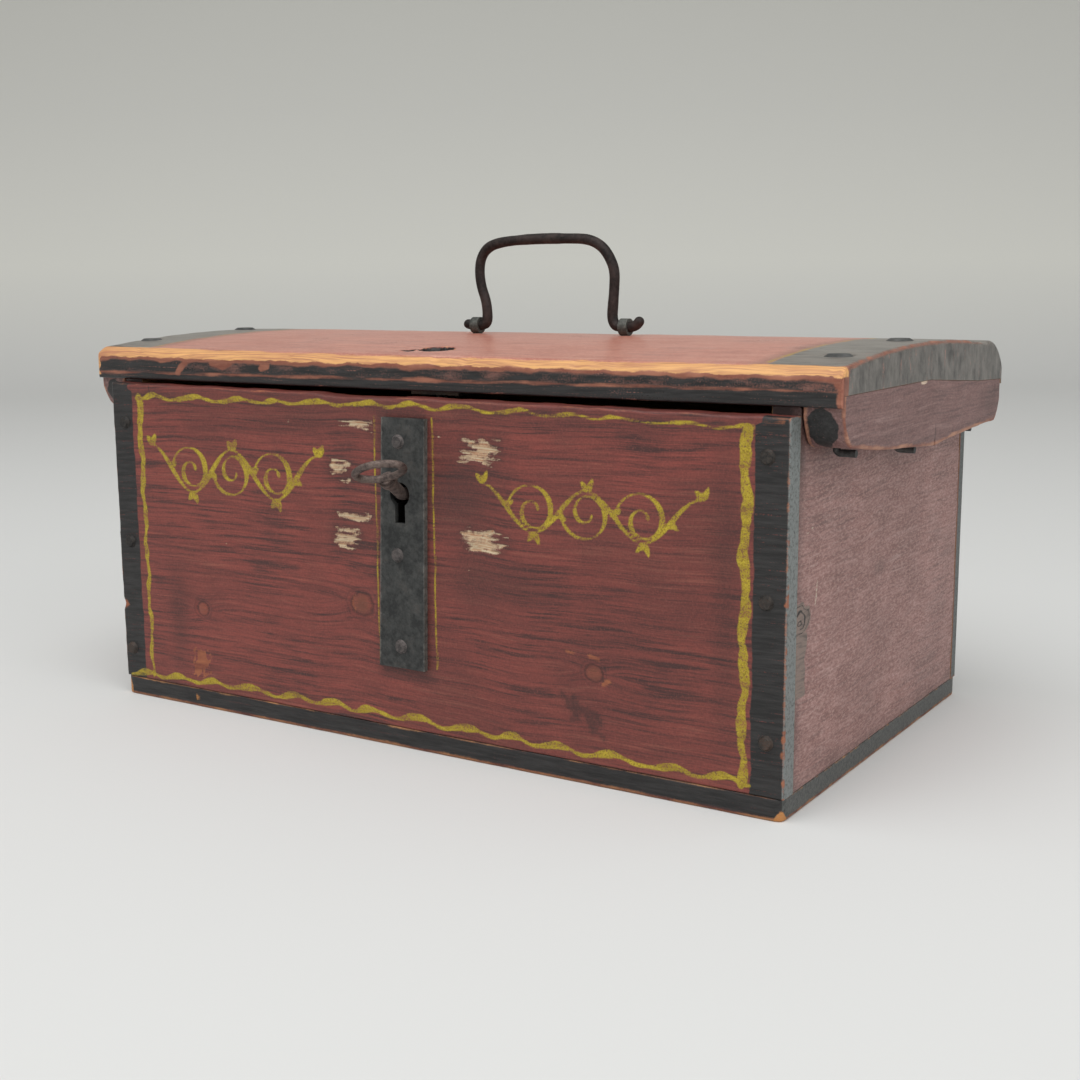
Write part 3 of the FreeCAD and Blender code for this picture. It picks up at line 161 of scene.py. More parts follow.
def painted_board(name, red, shade, rubbed, bare, worn, grey, wear, contrast=1.0,
                  scuffed=0.0, rough=0.44):
    """Old oil paint on pine, over fields that each board carries as attributes.

    Brush streaks follow the grain field. Black, yellow, bare wood and cracks fill the
    places where their distance fields are below 0, and wear eats in from the edges. The
    field for cracks also paints near-black shade inside holes, and the field for stains
    darkens the paint both with dirt and with painted shade.
    Scuffed paint is rubbed lighter in small spots and scratches.
    """
    material, shader, place = new_finish(name)

    def field(title, output="Fac"):
        return place.node("ShaderNodeAttribute", {}, output, attribute_name=title)

    grain = field("grain", "Vector")
    streak = noise(stretched(grain, 0.020, 0.50, 0.50), 1.0, 6.0, 0.70)
    thread = noise(stretched(grain, 0.03, 1.5, 1.5), 1.0, 3.0)
    fibre = noise(stretched(grain, 0.10, 4.5, 4.5), 1.0, 2.0)
    cloud = noise(place, 0.022, 3.0, 0.55)
    patch = noise(stretched(grain, 0.05, 0.16, 0.16), 1.0)
    speck = noise(place, 1.1, 3.0, 0.7)

    low, high = 0.5 - 0.13 / contrast, 0.5 + 0.15 / contrast
    colour = streak.node("ShaderNodeValToRGB", {0: streak * 0.72 + cloud * 0.28}, 0,
                         [(low, shade), (0.5, red), (0.55, red), (high, rubbed)])
    coats = [(cloud, 0.55, 0.2, 0.4, shade), (thread, 0.56, 0.16, 0.45, shade),
             (fibre, 0.62, 0.2, 0.25, rubbed), (speck, 0.60, 0.15, 0.35, shade),
             (1.0 - speck, 0.60, 0.12, 0.3, rubbed)]
    if scuffed:
        scuff = noise(stretched(grain, 0.32, 0.85, 0.85), 1.0, 6.0, 0.74)
        coats += [(patch, 0.52, 0.22, scuffed * 0.3, rubbed),
                  (1.0 - patch, 0.54, 0.20, scuffed * 0.35, shade),
                  (scuff, 0.55, 0.10, scuffed * 0.9, rubbed),
                  (1.0 - scuff, 0.56, 0.10, scuffed * 0.9, shade)]
    for cover, level, soft, amount, coat in coats:
        colour = blended(above(cover, level, soft) * amount, colour, coat)
    # Stains: dirt, and painted shade below the lid's overhang, round the tears and in gaps.
    colour = blended(field("stain_and_shade") * (0.55 + speck * 0.6), colour, tone(0.20, 0.145, 0.14))

    knot = field("knot")
    heart = above(1.0 - knot, 0.15, 0.5)
    ring = (1.0 - abs(knot - 1.05) * 4.0).clamped()
    outer = (1.0 - abs(knot - 1.55) * 5.0).clamped()
    colour = blended(heart * 0.35, colour, tone(0.58, 0.34, 0.24))
    colour = blended(ring * (0.35 + speck * 0.5), colour, tone(0.20, 0.12, 0.11))
    colour = blended(outer * 0.35, colour, shade)

    black = covered(field("black"), speck * 0.4 + patch * 0.6, 2.2, 0.5)
    brushed = noise(stretched(grain, 0.05, 0.55, 0.55), 1.0, 4.0, 0.7)
    weathered = (field("weathered") * ((brushed - 0.5) * 3.5 + 0.9)).clamped()
    soot = blended(above(brushed, 0.52, 0.3), tone(0.10, 0.097, 0.098), tone(0.20, 0.195, 0.195))
    soot = blended(weathered, soot, grey)
    soot = blended(above(speck * 0.4 + thread * 0.6, 0.62, 0.05) * 0.5, soot, red)
    colour = blended(black, colour, soot)

    yellow = covered(field("yellow"), speck * 0.6 + thread * 0.4, 1.3, 0.6)
    kept = 1.0 - above(speck * 0.6 + patch * 0.4, 0.53, 0.06) * 0.8
    ochre = blended(above(speck, 0.5, 0.25), tone(0.54, 0.45, 0.10), tone(0.80, 0.71, 0.20))
    colour = blended(yellow * kept, colour, ochre)

    eaten = covered(field("edge") - wear, patch * 0.5 + thread * 0.3 + speck * 0.2,
                    6.0 * wear, 0.9)
    cut = covered(field("bare"), thread * 0.5 + speck * 0.5, 1.7, 0.45)
    worn_wood = blended(above(patch, 0.5, 0.3), worn, tone(0.47, 0.25, 0.19))
    bare_wood = blended(above(thread, 0.53, 0.25) * 0.8, bare, worn)
    bare_wood = blended(above(fibre, 0.62, 0.12) * 0.3, bare_wood, tone(0.36, 0.27, 0.20))
    colour = blended(eaten * 0.85, colour, worn_wood)
    colour = blended(cut, colour, bare_wood)

    pine = blended(above(streak, 0.5, 0.3), tone(0.55, 0.41, 0.28), tone(0.68, 0.54, 0.38))
    pine = blended(above(thread, 0.56, 0.15) * 0.5, pine, tone(0.42, 0.29, 0.19))
    inner = above(field("inner"), 0.95, 0.08)
    colour = blended(inner, colour, pine)
    # Cracks, and near-black painted shade inside the keyhole and the lid's knot hole.
    crack_and_hole_shade = covered(field("crack_and_hole_shade"), speck, 0.5, 0.3)
    colour = blended(crack_and_hole_shade, colour, tone(0.06, 0.045, 0.04))

    feed(shader.inputs["Base Color"], colour)
    dull = cloud * 0.2 + eaten * 0.12 + cut * 0.2 + inner * 0.2 + speck * 0.12
    feed(shader.inputs["Roughness"], (rough - 0.1 + dull).clamped())
    height = streak * 0.35 + thread * 0.35 + fibre * 0.3 + speck * 0.25 + yellow * kept * 0.3
    dented(shader, height - cut * 0.5 - eaten * 0.3 - crack_and_hole_shade * 1.5, 0.55, 0.0004)
    return material


def joined(*parts):
    """Points from their coordinates, each of them a grid or one number."""
    return np.stack(np.broadcast_arrays(*parts), -1)


def least(*values):
    """The smallest of several values at each point."""
    return np.min(np.broadcast_arrays(*values), axis=0)


def only(where, distance):
    """A distance field that is kept in some places and far away elsewhere."""
    return np.where(where, distance, FAR_AWAY)


def ruled(low, high, step, border):
    """Grid lines from low to high, a step apart, and closer within a border at each end."""
    close = border * np.array([0, 0.08, 0.25, 0.5, 0.75, 1.0])
    count = max(2, round((high - low - 2 * border) / step) + 1)
    middle = np.linspace(low + border, high - border, count)[1:-1]
    return np.concatenate([low + close, middle, high - close[::-1]])


def fallen(distance, radius):
    """How far a rounded edge lies back at a distance from it: a quarter circle's height."""
    away = np.clip(radius - distance, 0, radius)
    return radius - np.sqrt(radius ** 2 - away ** 2)


def round_corners(a, b, a_ends, b_ends, radius):
    """Grid points near a rectangle's corners, moved so that squares become quarter circles."""
    inner_a = np.clip(a, a_ends[0] + radius, a_ends[1] - radius)
    inner_b = np.clip(b, b_ends[0] + radius, b_ends[1] - radius)
    across, along = a - inner_a, b - inner_b
    length = np.maximum(np.hypot(across, along), 1e-9)
    square = np.maximum(abs(across), abs(along))
    factor = np.where(np.minimum(abs(across), abs(along)) > 0, square / length, 1)
    return inner_a + across * factor, inner_b + along * factor


def waver(t, seed, length, size):
    """An uneven line: four sines of falling size, with phases from the seed."""
    rng = np.random.default_rng(seed)
    total = sum(np.sin(t * (2 * math.pi * k / length) + rng.uniform(0, 6.28)) / k
                for k in (1.0, 2.3, 4.1, 7.7))
    return size * total / 1.6


def mottle(a, b, seed, length):
    """Uneven ground between about -1 and 1: eight plane waves with seeded directions."""
    rng = np.random.default_rng(seed)
    total = 0
    for k in np.linspace(0.6, 2.6, 8):
        turn, phase = rng.uniform(0, 6.28, 2)
        way = (a * math.cos(turn) + b * math.sin(turn)) * (2 * math.pi * k / length)
        total = total + np.sin(way + phase) / math.sqrt(k)
    return total / 3


def cells(grid):
    """What lies at the four corners of each cell of a grid, in turn around the cell."""
    return joined(grid[:-1, :-1], grid[1:, :-1], grid[1:, 1:], grid[:-1, 1:])


def shell(near, far, rows, hole=False):
    """A closed board between two grids of points that face each other.

    The rims are joined by straight rows. Cells marked in hole are left open right
    through and get walls of their own. Gives points, quads, and each point's depth,
    which is 0 on the near grid and 1 on the far one.
    """
    n, m = near.shape[:2]
    count = n * m
    index = np.arange(count).reshape(n, m)
    solid = ~np.broadcast_to(hole, (n - 1, m - 1))
    near_quads = cells(index)[solid]
    quads = [near_quads, near_quads[:, ::-1] + count]
    rim = np.concatenate([index[0, :-1], index[:-1, -1], index[-1, :0:-1], index[:0:-1, 0]])
    share = np.linspace(0, 1, rows + 1)[1:-1, None, None]
    flat_near, flat_far = near.reshape(-1, 3), far.reshape(-1, 3)
    between = flat_near[rim] * (1 - share) + flat_far[rim] * share
    loops = [rim] + [2 * count + k * len(rim) + np.arange(len(rim)) for k in range(rows - 1)]
    loops.append(rim + count)
    for upper, lower in zip(loops, loops[1:]):
        quads.append(joined(upper, np.roll(upper, -1), np.roll(lower, -1), lower))
    beside = solid[:, :-1].astype(int) - solid[:, 1:]
    below = solid[:-1].astype(int) - solid[1:]
    for step, low, high in ((beside, index[:-1, 1:-1], index[1:, 1:-1]),
                            (-below, index[1:-1, :-1], index[1:-1, 1:])):
        for sign, first, second in ((1, low, high), (-1, high, low)):
            start, end = first[step == sign], second[step == sign]
            quads.append(joined(start, end, end + count, start + count))
    points = np.concatenate([flat_near, flat_far, between.reshape(-1, 3)])
    depth = np.concatenate([np.zeros(count), np.ones(count),
                            np.repeat(share.ravel(), len(rim))])
    quads = np.concatenate(quads)
    used, numbers = np.unique(quads, return_inverse=True)
    return points[used], numbers.reshape(quads.shape), depth[used]


def add_piece(name, points, faces, material, body, node):
    """A mesh in place of its CAD node, on the given body and with the given material."""
    mesh = bpy.data.meshes.new(name)
    mesh.from_pydata((points * MM).tolist(), [], faces)
    mesh.shade_smooth()
    mesh.set_sharp_from_angle(angle=math.radians(38))
    mesh.materials.append(material)
    piece = bpy.data.objects.new(name, mesh)
    bpy.context.scene.collection.objects.link(piece)
    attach(piece, body)
    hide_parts(node)
    return mesh


def add_board(name, points, quads, fields, material, body, node):
    """A board turned outwards, with its fields, in place of its CAD node."""
    corners = points[quads]
    volume = (np.cross(corners[:, 0], corners[:, 1]) * corners[:, 2]).sum()
    volume += (np.cross(corners[:, 0], corners[:, 2]) * corners[:, 3]).sum()
    if volume < 0:
        quads = quads[:, ::-1]
    mesh = add_piece(name, points, quads.tolist(), material, body, node)
    far = dict.fromkeys(("edge", "black", "yellow", "bare", "crack_and_hole_shade", "knot"), FAR_AWAY)
    none = dict.fromkeys(("stain_and_shade", "inner", "weathered"), 0.0)
    for title, values in {"grain": points, **far, **none, **fields}.items():
        vector = title == "grain"
        layer = mesh.attributes.new(title, "FLOAT_VECTOR" if vector else "FLOAT", "POINT")
        whole = values if vector else np.broadcast_to(values, len(points))
        layer.data.foreach_set("vector" if vector else "value",
                               np.ascontiguousarray(whole, np.float32).ravel())


def edge_distance(*planes):
    """Distance to the nearest arris: the second smallest distance to the board's planes."""
    return np.sort(np.stack(planes), axis=0)[1]


x, y = np.meshgrid(ruled(-HALF_LENGTH, HALF_LENGTH, 2.5, 1.6), ruled(FRONT, BACK, 3.0, 1.6),
                   indexing="ij")
gap = least(HALF_LENGTH - abs(x), y - FRONT, BACK - y)
x, y = round_corners(x, y, (-HALF_LENGTH, HALF_LENGTH), (FRONT, BACK), 4.0)
lower_round = 0.9 + 0.5 * abs(waver(x + y, 3, 70.0, 1.0))
points, quads, depth = shell(joined(x, y, BOTTOM_TOP - fallen(gap, 0.7)),
                             joined(x, y, fallen(gap, lower_round)), 7)
x, y, z = points.T
edge = edge_distance(HALF_LENGTH - abs(x), y - FRONT, BACK - y, z, BOTTOM_TOP - z)
on_wall = least(HALF_LENGTH - abs(x), y - FRONT, BACK - y) < 0.05
right_corner = np.hypot(HALF_LENGTH - x, y - FRONT) + 0.12 * z ** 2
left_corner = np.hypot(HALF_LENGTH + x, y - FRONT) + 0.03 * z ** 2
corner = np.minimum(right_corner, left_corner + 0.4 * waver(x + z, 4, 9.0, 1.0))
left_mark = np.hypot((x + 145) / 1.2, (z - 5) / 2.6) - 1.0
add_board("bottom_board_wood", points, quads, {
    "edge": np.where(z < 5, edge - 0.5, edge + np.where(x > HALF_LENGTH - 1, 0.9, 0.7)),
    "black": np.where(depth < 1, -4.0, 4.0),
    "bare": np.minimum(corner - 4.2, only(y < FRONT + 1, left_mark)),
    "weathered": ((x > HALF_LENGTH - 1) | (y > BACK - 1)) * 0.75,
    "inner": (z < 0.02) | ((z > BOTTOM_TOP - 0.02) & ~on_wall),
}, painted_board("black_edge_paint", tone(0.34, 0.20, 0.19), tone(0.2, 0.13, 0.13),
                 tone(0.45, 0.28, 0.25), tone(0.74, 0.50, 0.28), tone(0.70, 0.50, 0.33),
                 tone(0.34, 0.35, 0.34), 0.9),
    "base", "bottom_board")


# Front board: pine, 11 mm thick, nailed over the ends of the sides. Red oil paint with
# a black border, a wavy yellow line inside it and yellow scrolls, all by hand. Pieces
# were torn off beside the lock plate, and it has three knots, a split and worn edges.

BOARD_BACK = -107.7
FRONT_TALL = 164.0


def front_top(x):
    """Height of the front board's top, which falls a little to the right."""
    return 175.5 - 1.8 * (x + HALF_LENGTH) / (2 * HALF_LENGTH)


def stroke(a, b, path, width):
    """Signed distance of points to a painted stroke: a line whose half width varies.

    For each part of the line it is the distance to the nearest point of that part, less
    the half width there. The least of these is kept.
    """
    best = np.full(a.shape, FAR_AWAY)
    width = np.broadcast_to(width, len(path))
    for (a0, b0), (a1, b1), w0, w1 in zip(path[:-1], path[1:], width[:-1], width[1:]):
        reach = max(w0, w1) + 6
        close = ((a > min(a0, a1) - reach) & (a < max(a0, a1) + reach)
                 & (b > min(b0, b1) - reach) & (b < max(b0, b1) + reach))
        if not close.any():
            continue
        da, db = a1 - a0, b1 - b0
        pa, pb = a[close] - a0, b[close] - b0
        t = np.clip((pa * da + pb * db) / max(da * da + db * db, 1e-9), 0, 1)
        away = np.hypot(pa - t * da, pb - t * db) - (w0 + t * (w1 - w0))
        best[close] = np.minimum(best[close], away)
    return best


def nearest(a, b, strokes):
    """Signed distance to the nearest of several strokes."""
    return least(*(stroke(a, b, path, width) for path, width in strokes))


def curl(centre, radius, start, way, turns, press):
    """A curl: a spiral from a radius in to a fifth of it, broad where the brush goes down."""
    t = np.linspace(0, 1, 40)
    angle = start + way * turns * 2 * math.pi * t
    reach = radius * (1 - 0.8 * t ** 0.85)
    path = joined(centre[0] + reach * np.cos(angle), centre[1] + reach * np.sin(angle))
    return path, 0.38 + press * np.cos(angle - 0.3) ** 2 * (1 - 0.6 * t) * np.minimum(6 * t, 1)


def leaf(start, length, heading, bend, width):
    """A leaf in one press of the brush: thin, broad and thin again along a slight curve."""
    t = np.linspace(0, 1, 12)
    headings = heading + bend * t[1:]
    steps = joined(np.cos(headings), np.sin(headings)) * length / 11
    path = np.concatenate([[start], start + np.cumsum(steps, axis=0)])
    return path, 0.2 + width * np.sin(math.pi * t ** 0.75)


def vine(left, right, middle, rise, bends, press):
    """A waving stem, with a curl inside each of its bends and leaves outside, as strokes."""
    along = np.linspace(left, right, 120)
    phase = (along - left) / (right - left) * math.pi * bends
    strokes = [(joined(along, middle + rise * np.cos(phase)),
                0.4 + 0.6 * press * np.sin(phase) ** 2)]
    pitch = (right - left) / bends
    for number in range(bends + 1):
        side = 1 if number % 2 == 0 else -1
        x0, z0 = left + pitch * number, middle + rise * side
        if 0 < number < bends:
            strokes.append(curl((x0, middle + side * 0.5), pitch * 0.5, math.pi, side, 1.45, press))
        strokes.append(leaf((x0, z0), 7.0, side * 0.7, side * 0.7, press))
        strokes.append(leaf((x0, z0), 5.5, side * 1.9, side * 0.6, press * 0.9))
        if number < bends:
            strokes.append(leaf((x0 + pitch * 0.42, middle + side * 1.5), 6.5, -side * 0.15,
                                side * 0.9, press))
    return strokes


def slashes(seed, left, right, low, high, count):
    """Ragged tears in the wood: splinters' beds that run along the grain and fan out.

    They lie within an oval: the further from its middle height, the shorter they are.
    """
    rng = np.random.default_rng(seed)
    made = []
    for _ in range(count):
        off = rng.uniform(-1, 1)
        length = (right - left) * rng.uniform(0.35, 0.8) * math.sqrt(1.05 - off * off)
        x0 = rng.uniform(left, right - length)
        z0 = 0.5 * (low + high) + 0.5 * (high - low) * off
        t = np.linspace(0, 1, 7)
        path = joined(x0 + length * t, z0 + (rng.uniform(-0.28, 0.12) - 0.12 * off) * length * t
                      + np.cumsum(rng.uniform(-0.3, 0.3, 7)))
        made.append((path, rng.uniform(0.2, 0.6) * np.sin(math.pi * (0.1 + 0.85 * t)) ** 0.6))
    return made


def front_border():
    """The wavy yellow line: swelling strokes along all four sides of the red field."""
    top_x = np.linspace(-181, 184, 260)
    turn = top_x / 4.6 + waver(top_x, 10, 90.0, 0.9)
    top_z = (168.3 + 2.4 * np.exp(-((top_x - 20) / 110) ** 2) + waver(top_x, 11, 34.0, 0.5)
             + 0.95 * np.sin(turn))
    top_w = 0.85 + 0.75 * np.clip(np.sin(turn + 0.7), 0, 1) + waver(top_x, 17, 11.0, 0.2)
    top_w = top_w * np.interp(top_x, [-180, 40, 120, 184], [1, 0.85, 0.5, 0.6])
    foot_x = np.linspace(-196, 184, 300)
    turn = foot_x / 4.4 + waver(foot_x, 18, 110.0, 0.9)
    foot_z = (np.interp(foot_x, [-198, -150, -37, 83, 185], [11.9, 14.6, 15.8, 15.0, 15.2])
              + 1.25 * np.sin(turn) + waver(foot_x, 12, 60.0, 0.5))
    foot_w = 0.95 + 1.0 * np.clip(np.sin(turn + 0.6), 0, 1) + waver(foot_x, 19, 13.0, 0.25)
    left_z = np.linspace(13, 168.5, 110)
    left_x = -178.8 + waver(left_z, 13, 30.0, 1.1)
    left_w = np.interp(left_z, [13, 100, 168], [1.1, 1.3, 2.2]) + waver(left_z, 14, 19.0, 0.5)
    right_z = np.linspace(14, 168, 110)
    right_x = 180.6 + waver(right_z, 15, 38.0, 1.3)
    right_w = np.interp(right_z, [14, 80, 168], [1.8, 2.1, 2.4]) + waver(right_z, 16, 24.0, 0.7)
    return [(joined(top_x, top_z), top_w), (joined(foot_x, foot_z), foot_w),
            (joined(left_x, left_z), left_w), (joined(right_x, right_z), right_w)]


def in_keyhole(x, z, more):
    """Whether points lie in the keyhole, a round hole over a slot, made larger all round."""
    slot = (abs(x) < 4.1 + more) & (z > 112.9 - more) & (z < 128)
    return (np.hypot(x, z - 128) < 7.0 + more) | slot


def blot(a, b, a_middle, a_reach, b_middle, b_reach):
    """A soft spot: 1 in its middle, and e to the power of minus the distance squared."""
    return np.exp(-((a - a_middle) / a_reach) ** 2 - ((b - b_middle) / b_reach) ** 2)


def parted(along, across, amount, wide, tall):
    """How far the grain gives way to both sides of a knot, less with the distance from it."""
    return np.sign(across) * amount * np.exp(-(along / wide) ** 2 - abs(across) / tall)


TEARS = [splinter for tear in (
    (21, -45, -13.5, 158.6, 162.2, 9), (22, -47, -31, 135, 144.6, 22),
    (23, -41, -31, 131.3, 133.0, 4), (24, -43, -15, 113.2, 117, 11),
    (25, -45, -26, 98, 109, 26), (26, 32, 58, 145, 157, 30), (27, 32.5, 62, 103, 115, 34))
    for splinter in slashes(*tear)]
KNOTS = ((-138.0, 55.6, 3.5), (-27.4, 70.7, 5.6), (106.5, 53.3, 3.8))
# Dark patches as amount, then middle and reach in x and in z. The row that spans the whole length at
# z 170 is painted shade below the lid's overhang.
SMUDGES_AND_LID_SHADE = ((0.5, -156, 7, 48, 26), (0.75, 34, 26, 132, 22), (0.6, 58, 40, 90, 12),
           (0.45, -60, 70, 160, 7), (0.8, -27.4, 4.0, 70.7, 4.6), (0.55, 172, 9, 90, 70),
           (0.35, 0, math.inf, 170, 8), (0.30, 120, 70, 60, 45))

x, share = np.meshgrid(ruled(-HALF_LENGTH, HALF_LENGTH, 1.25, 1.6),
                       ruled(0.0, 1.0, 1.25 / FRONT_TALL, 1.4 / FRONT_TALL), indexing="ij")
height = front_top(x) - BOTTOM_TOP
z = BOTTOM_TOP + share * height
gap = least(HALF_LENGTH - abs(x), (1 - share) * height, share * height)
top_wear = 1.4 + 0.7 * abs(waver(x, 31, 60.0, 1.0))
recess = fallen(gap, np.where(share > 0.5, top_wear, 1.0))
recess = recess + 1.3 * np.clip(0.3 - nearest(x, z, TEARS), 0, 1) + 0.12 * mottle(x, z * 3, 32, 40.0)
for knot_x, knot_z, radius in KNOTS:
    r = np.hypot((x - knot_x) / 1.15, z - knot_z) / radius
    recess += 0.45 * np.exp(-((r - 1.05) / 0.28) ** 2)
recess += 2.2 * np.clip(1 - np.hypot((x + 201.5) / 4.6, (z - 51.7) / 3.6), 0, 1)
top_dip = np.clip(1 - abs(x + 28) / 26, 0, 1) ** 0.7 * 1.1 + 0.25 * (1 + waver(x, 33, 35.0, 1.0))
z = z - top_dip * share ** 12
points, quads, depth = shell(joined(x, FRONT + np.maximum(recess, 0), z),
                             joined(x, BOARD_BACK, z), 6, cells(in_keyhole(x, z, 0)).all(-1))
x, y, z = points.T
face = depth < 0.5
edge = edge_distance(HALF_LENGTH - abs(x), y - FRONT, BOARD_BACK - y + 5.0, front_top(x) - z,
                     z - BOTTOM_TOP)
knot = FAR_AWAY
lift = waver(x, 34, 300.0, 1.8) + 0.5 * mottle(x, z, 35, 150.0)
for knot_x, knot_z, radius in KNOTS:
    dx, dz = x - knot_x, z - knot_z
    knot = np.minimum(knot, np.hypot(dx / 1.15, dz) / radius + 0.10 * mottle(x, z, 36, 9.0))
    lift += parted(dx, dz, radius * 1.1, radius * 3.2, radius * 2.2)
beside_plate = np.minimum(abs(x + 16.6 + waver(z, 41, 60.0, 0.4)) - 0.45,
                          abs(x - 18.3 + waver(z, 42, 50.0, 0.5)) - 0.5)
yellow = nearest(x, z, front_border() + vine(-171, -53, 131, 12.0, 4, 1.75)
                 + vine(46, 160, 126, 10.5, 4, 1.25))
yellow = np.minimum(yellow, only((z > 42) & (z < 166), beside_plate))
band = HALF_LENGTH - 15.5 + waver(z, 43, 40.0, 0.35) - abs(x)
band += 3.0 * (z > front_top(x) - 3.4 + waver(x, 44, 20.0, 0.8))
blemish = stroke(x, z, [(88, 45), (94, 38), (101, 33), (108, 28), (113, 22)],
                 [1.0, 3.5, 4.2, 3.8, 1.0]) + 3.2 * mottle(x, z, 47, 12.0)
tears = nearest(x, z, TEARS)
grime_and_shade = np.clip(1 - (abs(x) - 13) / 7, 0, 1) * ((z > 35) & (z < 170)) * 0.55
grime_and_shade = np.maximum(grime_and_shade, np.clip(-blemish / 3.0 + 0.2, 0, 0.75))
# Painted shadow: a dark halo round each tear, where the torn wood lies lower.
grime_and_shade = np.maximum(grime_and_shade, 0.6 * np.exp(-np.clip(tears, 0, 30) / 2.5))
for amount, *place in SMUDGES_AND_LID_SHADE:
    grime_and_shade = np.maximum(grime_and_shade, amount * blot(x, z, *place))
rubbed_spot = np.maximum(abs(x + 140.6) - 8.5, abs(z - 25.2) - 9.5) + 5.0 * abs(
    mottle(x * 3, z, 45, 14.0)) + 0.6
specks = nearest(x, z, [([(a, b), (a + 0.7, b)], 0.5) for a, b in (
    (21.8, 157), (37.8, 93.8), (-119, 93), (-72, 160))])
notch = np.hypot((x + 199) / 3.4, (z - 51.7) / 2.4) * 2.4 - 2.4
chipped = only((x > 0) & (y < FRONT + 2), HALF_LENGTH - x) + np.interp(
    z, [10, 30, 80, 110, 175], [0.2, 0.5, 0.6, 1.3, 1.3]) + 1.6 * mottle(x, z, 46, 10.0)
orange = nearest(x, z, [
    ([(185, 172.0), (191, 171.2), (197, 171.5)], 0.4),
    ([(184, 166.8), (191, 167.0), (199, 165.6)], 0.25),
    ([(-31.5, 66.5), (-33.4, 70.5), (-32.0, 75.0)], [0.3, 1.1, 0.3]),
    ([(104.5, 60.8), (109.5, 60.0)], 1.1), ([(112, 49), (114.5, 50.5)], 1.2),
    ([(92, 62), (96, 61)], 0.6)])
orange = least(orange, notch, rubbed_spot, chipped) + 0.9
split = stroke(x, z, [(-171.5, 175.6), (-170.6, 172), (-169.6, 169.4), (-169.3, 167.9)],
               [0.35, 0.3, 0.2, 0.05])
add_board("front_board_wood", points, quads, {
    "grain": joined(x, z + lift, y),
    "edge": np.minimum(edge + np.where(z < 15, 2.2, 0.5), only(face, orange)),
    "black": only(face | (abs(x) > HALF_LENGTH - 1), band),
    "yellow": only(face, yellow),
    "bare": only(face, np.minimum(tears, specks)),
    # Inside the keyhole the walls are painted near black: painted shade in the hole.
    "crack_and_hole_shade": np.where(in_keyhole(x, z, 1.5), -1.0, only(face, split)),
    "knot": only(face, knot),
    "stain_and_shade": grime_and_shade * face,
    "weathered": abs(x) > HALF_LENGTH - 0.5,
    "inner": depth > 0.97,
}, painted_board("red_front_paint_aged", tone(0.52, 0.255, 0.225), tone(0.265, 0.16, 0.155),
                 tone(0.59, 0.33, 0.28), tone(0.78, 0.71, 0.59), tone(0.68, 0.42, 0.28),
                 tone(0.47, 0.49, 0.485), 0.9, 1.15),
    "base", "front_board")


# Back board: pine, a little thinner than the front and nailed on as that is. It is
# plain red with black ends.

BACK_INSIDE = 110.1


def underside(y):
    """Height of the lid's flat underside at y: it falls evenly from front to back."""
    return 177.2 - 4.2 * (y + 110.9) / 228.8


back_top = underside(BACK) - 0.3
x, z = np.meshgrid(ruled(-HALF_LENGTH, HALF_LENGTH, 2.4, 1.2),
                   ruled(BOTTOM_TOP, back_top, 2.2, 1.2), indexing="ij")
gap = least(HALF_LENGTH - abs(x), back_top - z, z - BOTTOM_TOP)
points, quads, depth = shell(
    joined(x, BACK - fallen(gap, 1.0) - 0.06 * (1 + mottle(x, z * 3, 51, 60.0)), z),
    joined(x, BACK_INSIDE, z), 5)
x, y, z = points.T
lift = waver(x, 52, 300.0, 2.2) + 0.6 * mottle(x, z, 53, 150.0)
add_board("back_board_wood", points, quads, {
    "grain": joined(x, z + lift, y),
    "edge": edge_distance(HALF_LENGTH - abs(x), BACK - y, y - BACK_INSIDE + 5, back_top - z,
                          z - BOTTOM_TOP) + 0.4,
    "black": only(depth < 0.97, HALF_LENGTH - 12.0 + waver(z, 54, 50.0, 0.8) - abs(x)),
    "weathered": (abs(x) > HALF_LENGTH - 0.5) * 0.9,
    "inner": depth > 0.97,
}, painted_board("back_paint_aged", tone(0.45, 0.27, 0.25), tone(0.28, 0.19, 0.18),
                 tone(0.52, 0.34, 0.31), tone(0.72, 0.52, 0.34), tone(0.60, 0.40, 0.30),
                 tone(0.36, 0.38, 0.375), 1.0),
    "base", "back_board")


# Side boards: thicker pine between front and back, their grain running from front to
# back. The red is rubbed to a dull pink and scratched all over. The right one has a
# knot and a bare strip just behind the front board.

SIDE_INSIDE = 187.0
SIDE_TALL = 165.0


def refined(lines, low, high, step):
    """Grid lines, with those between low and high replaced by closer ones."""
    close = np.arange(low, high, step)
    return np.concatenate([lines[lines < low - step / 2], close, lines[lines > high]])


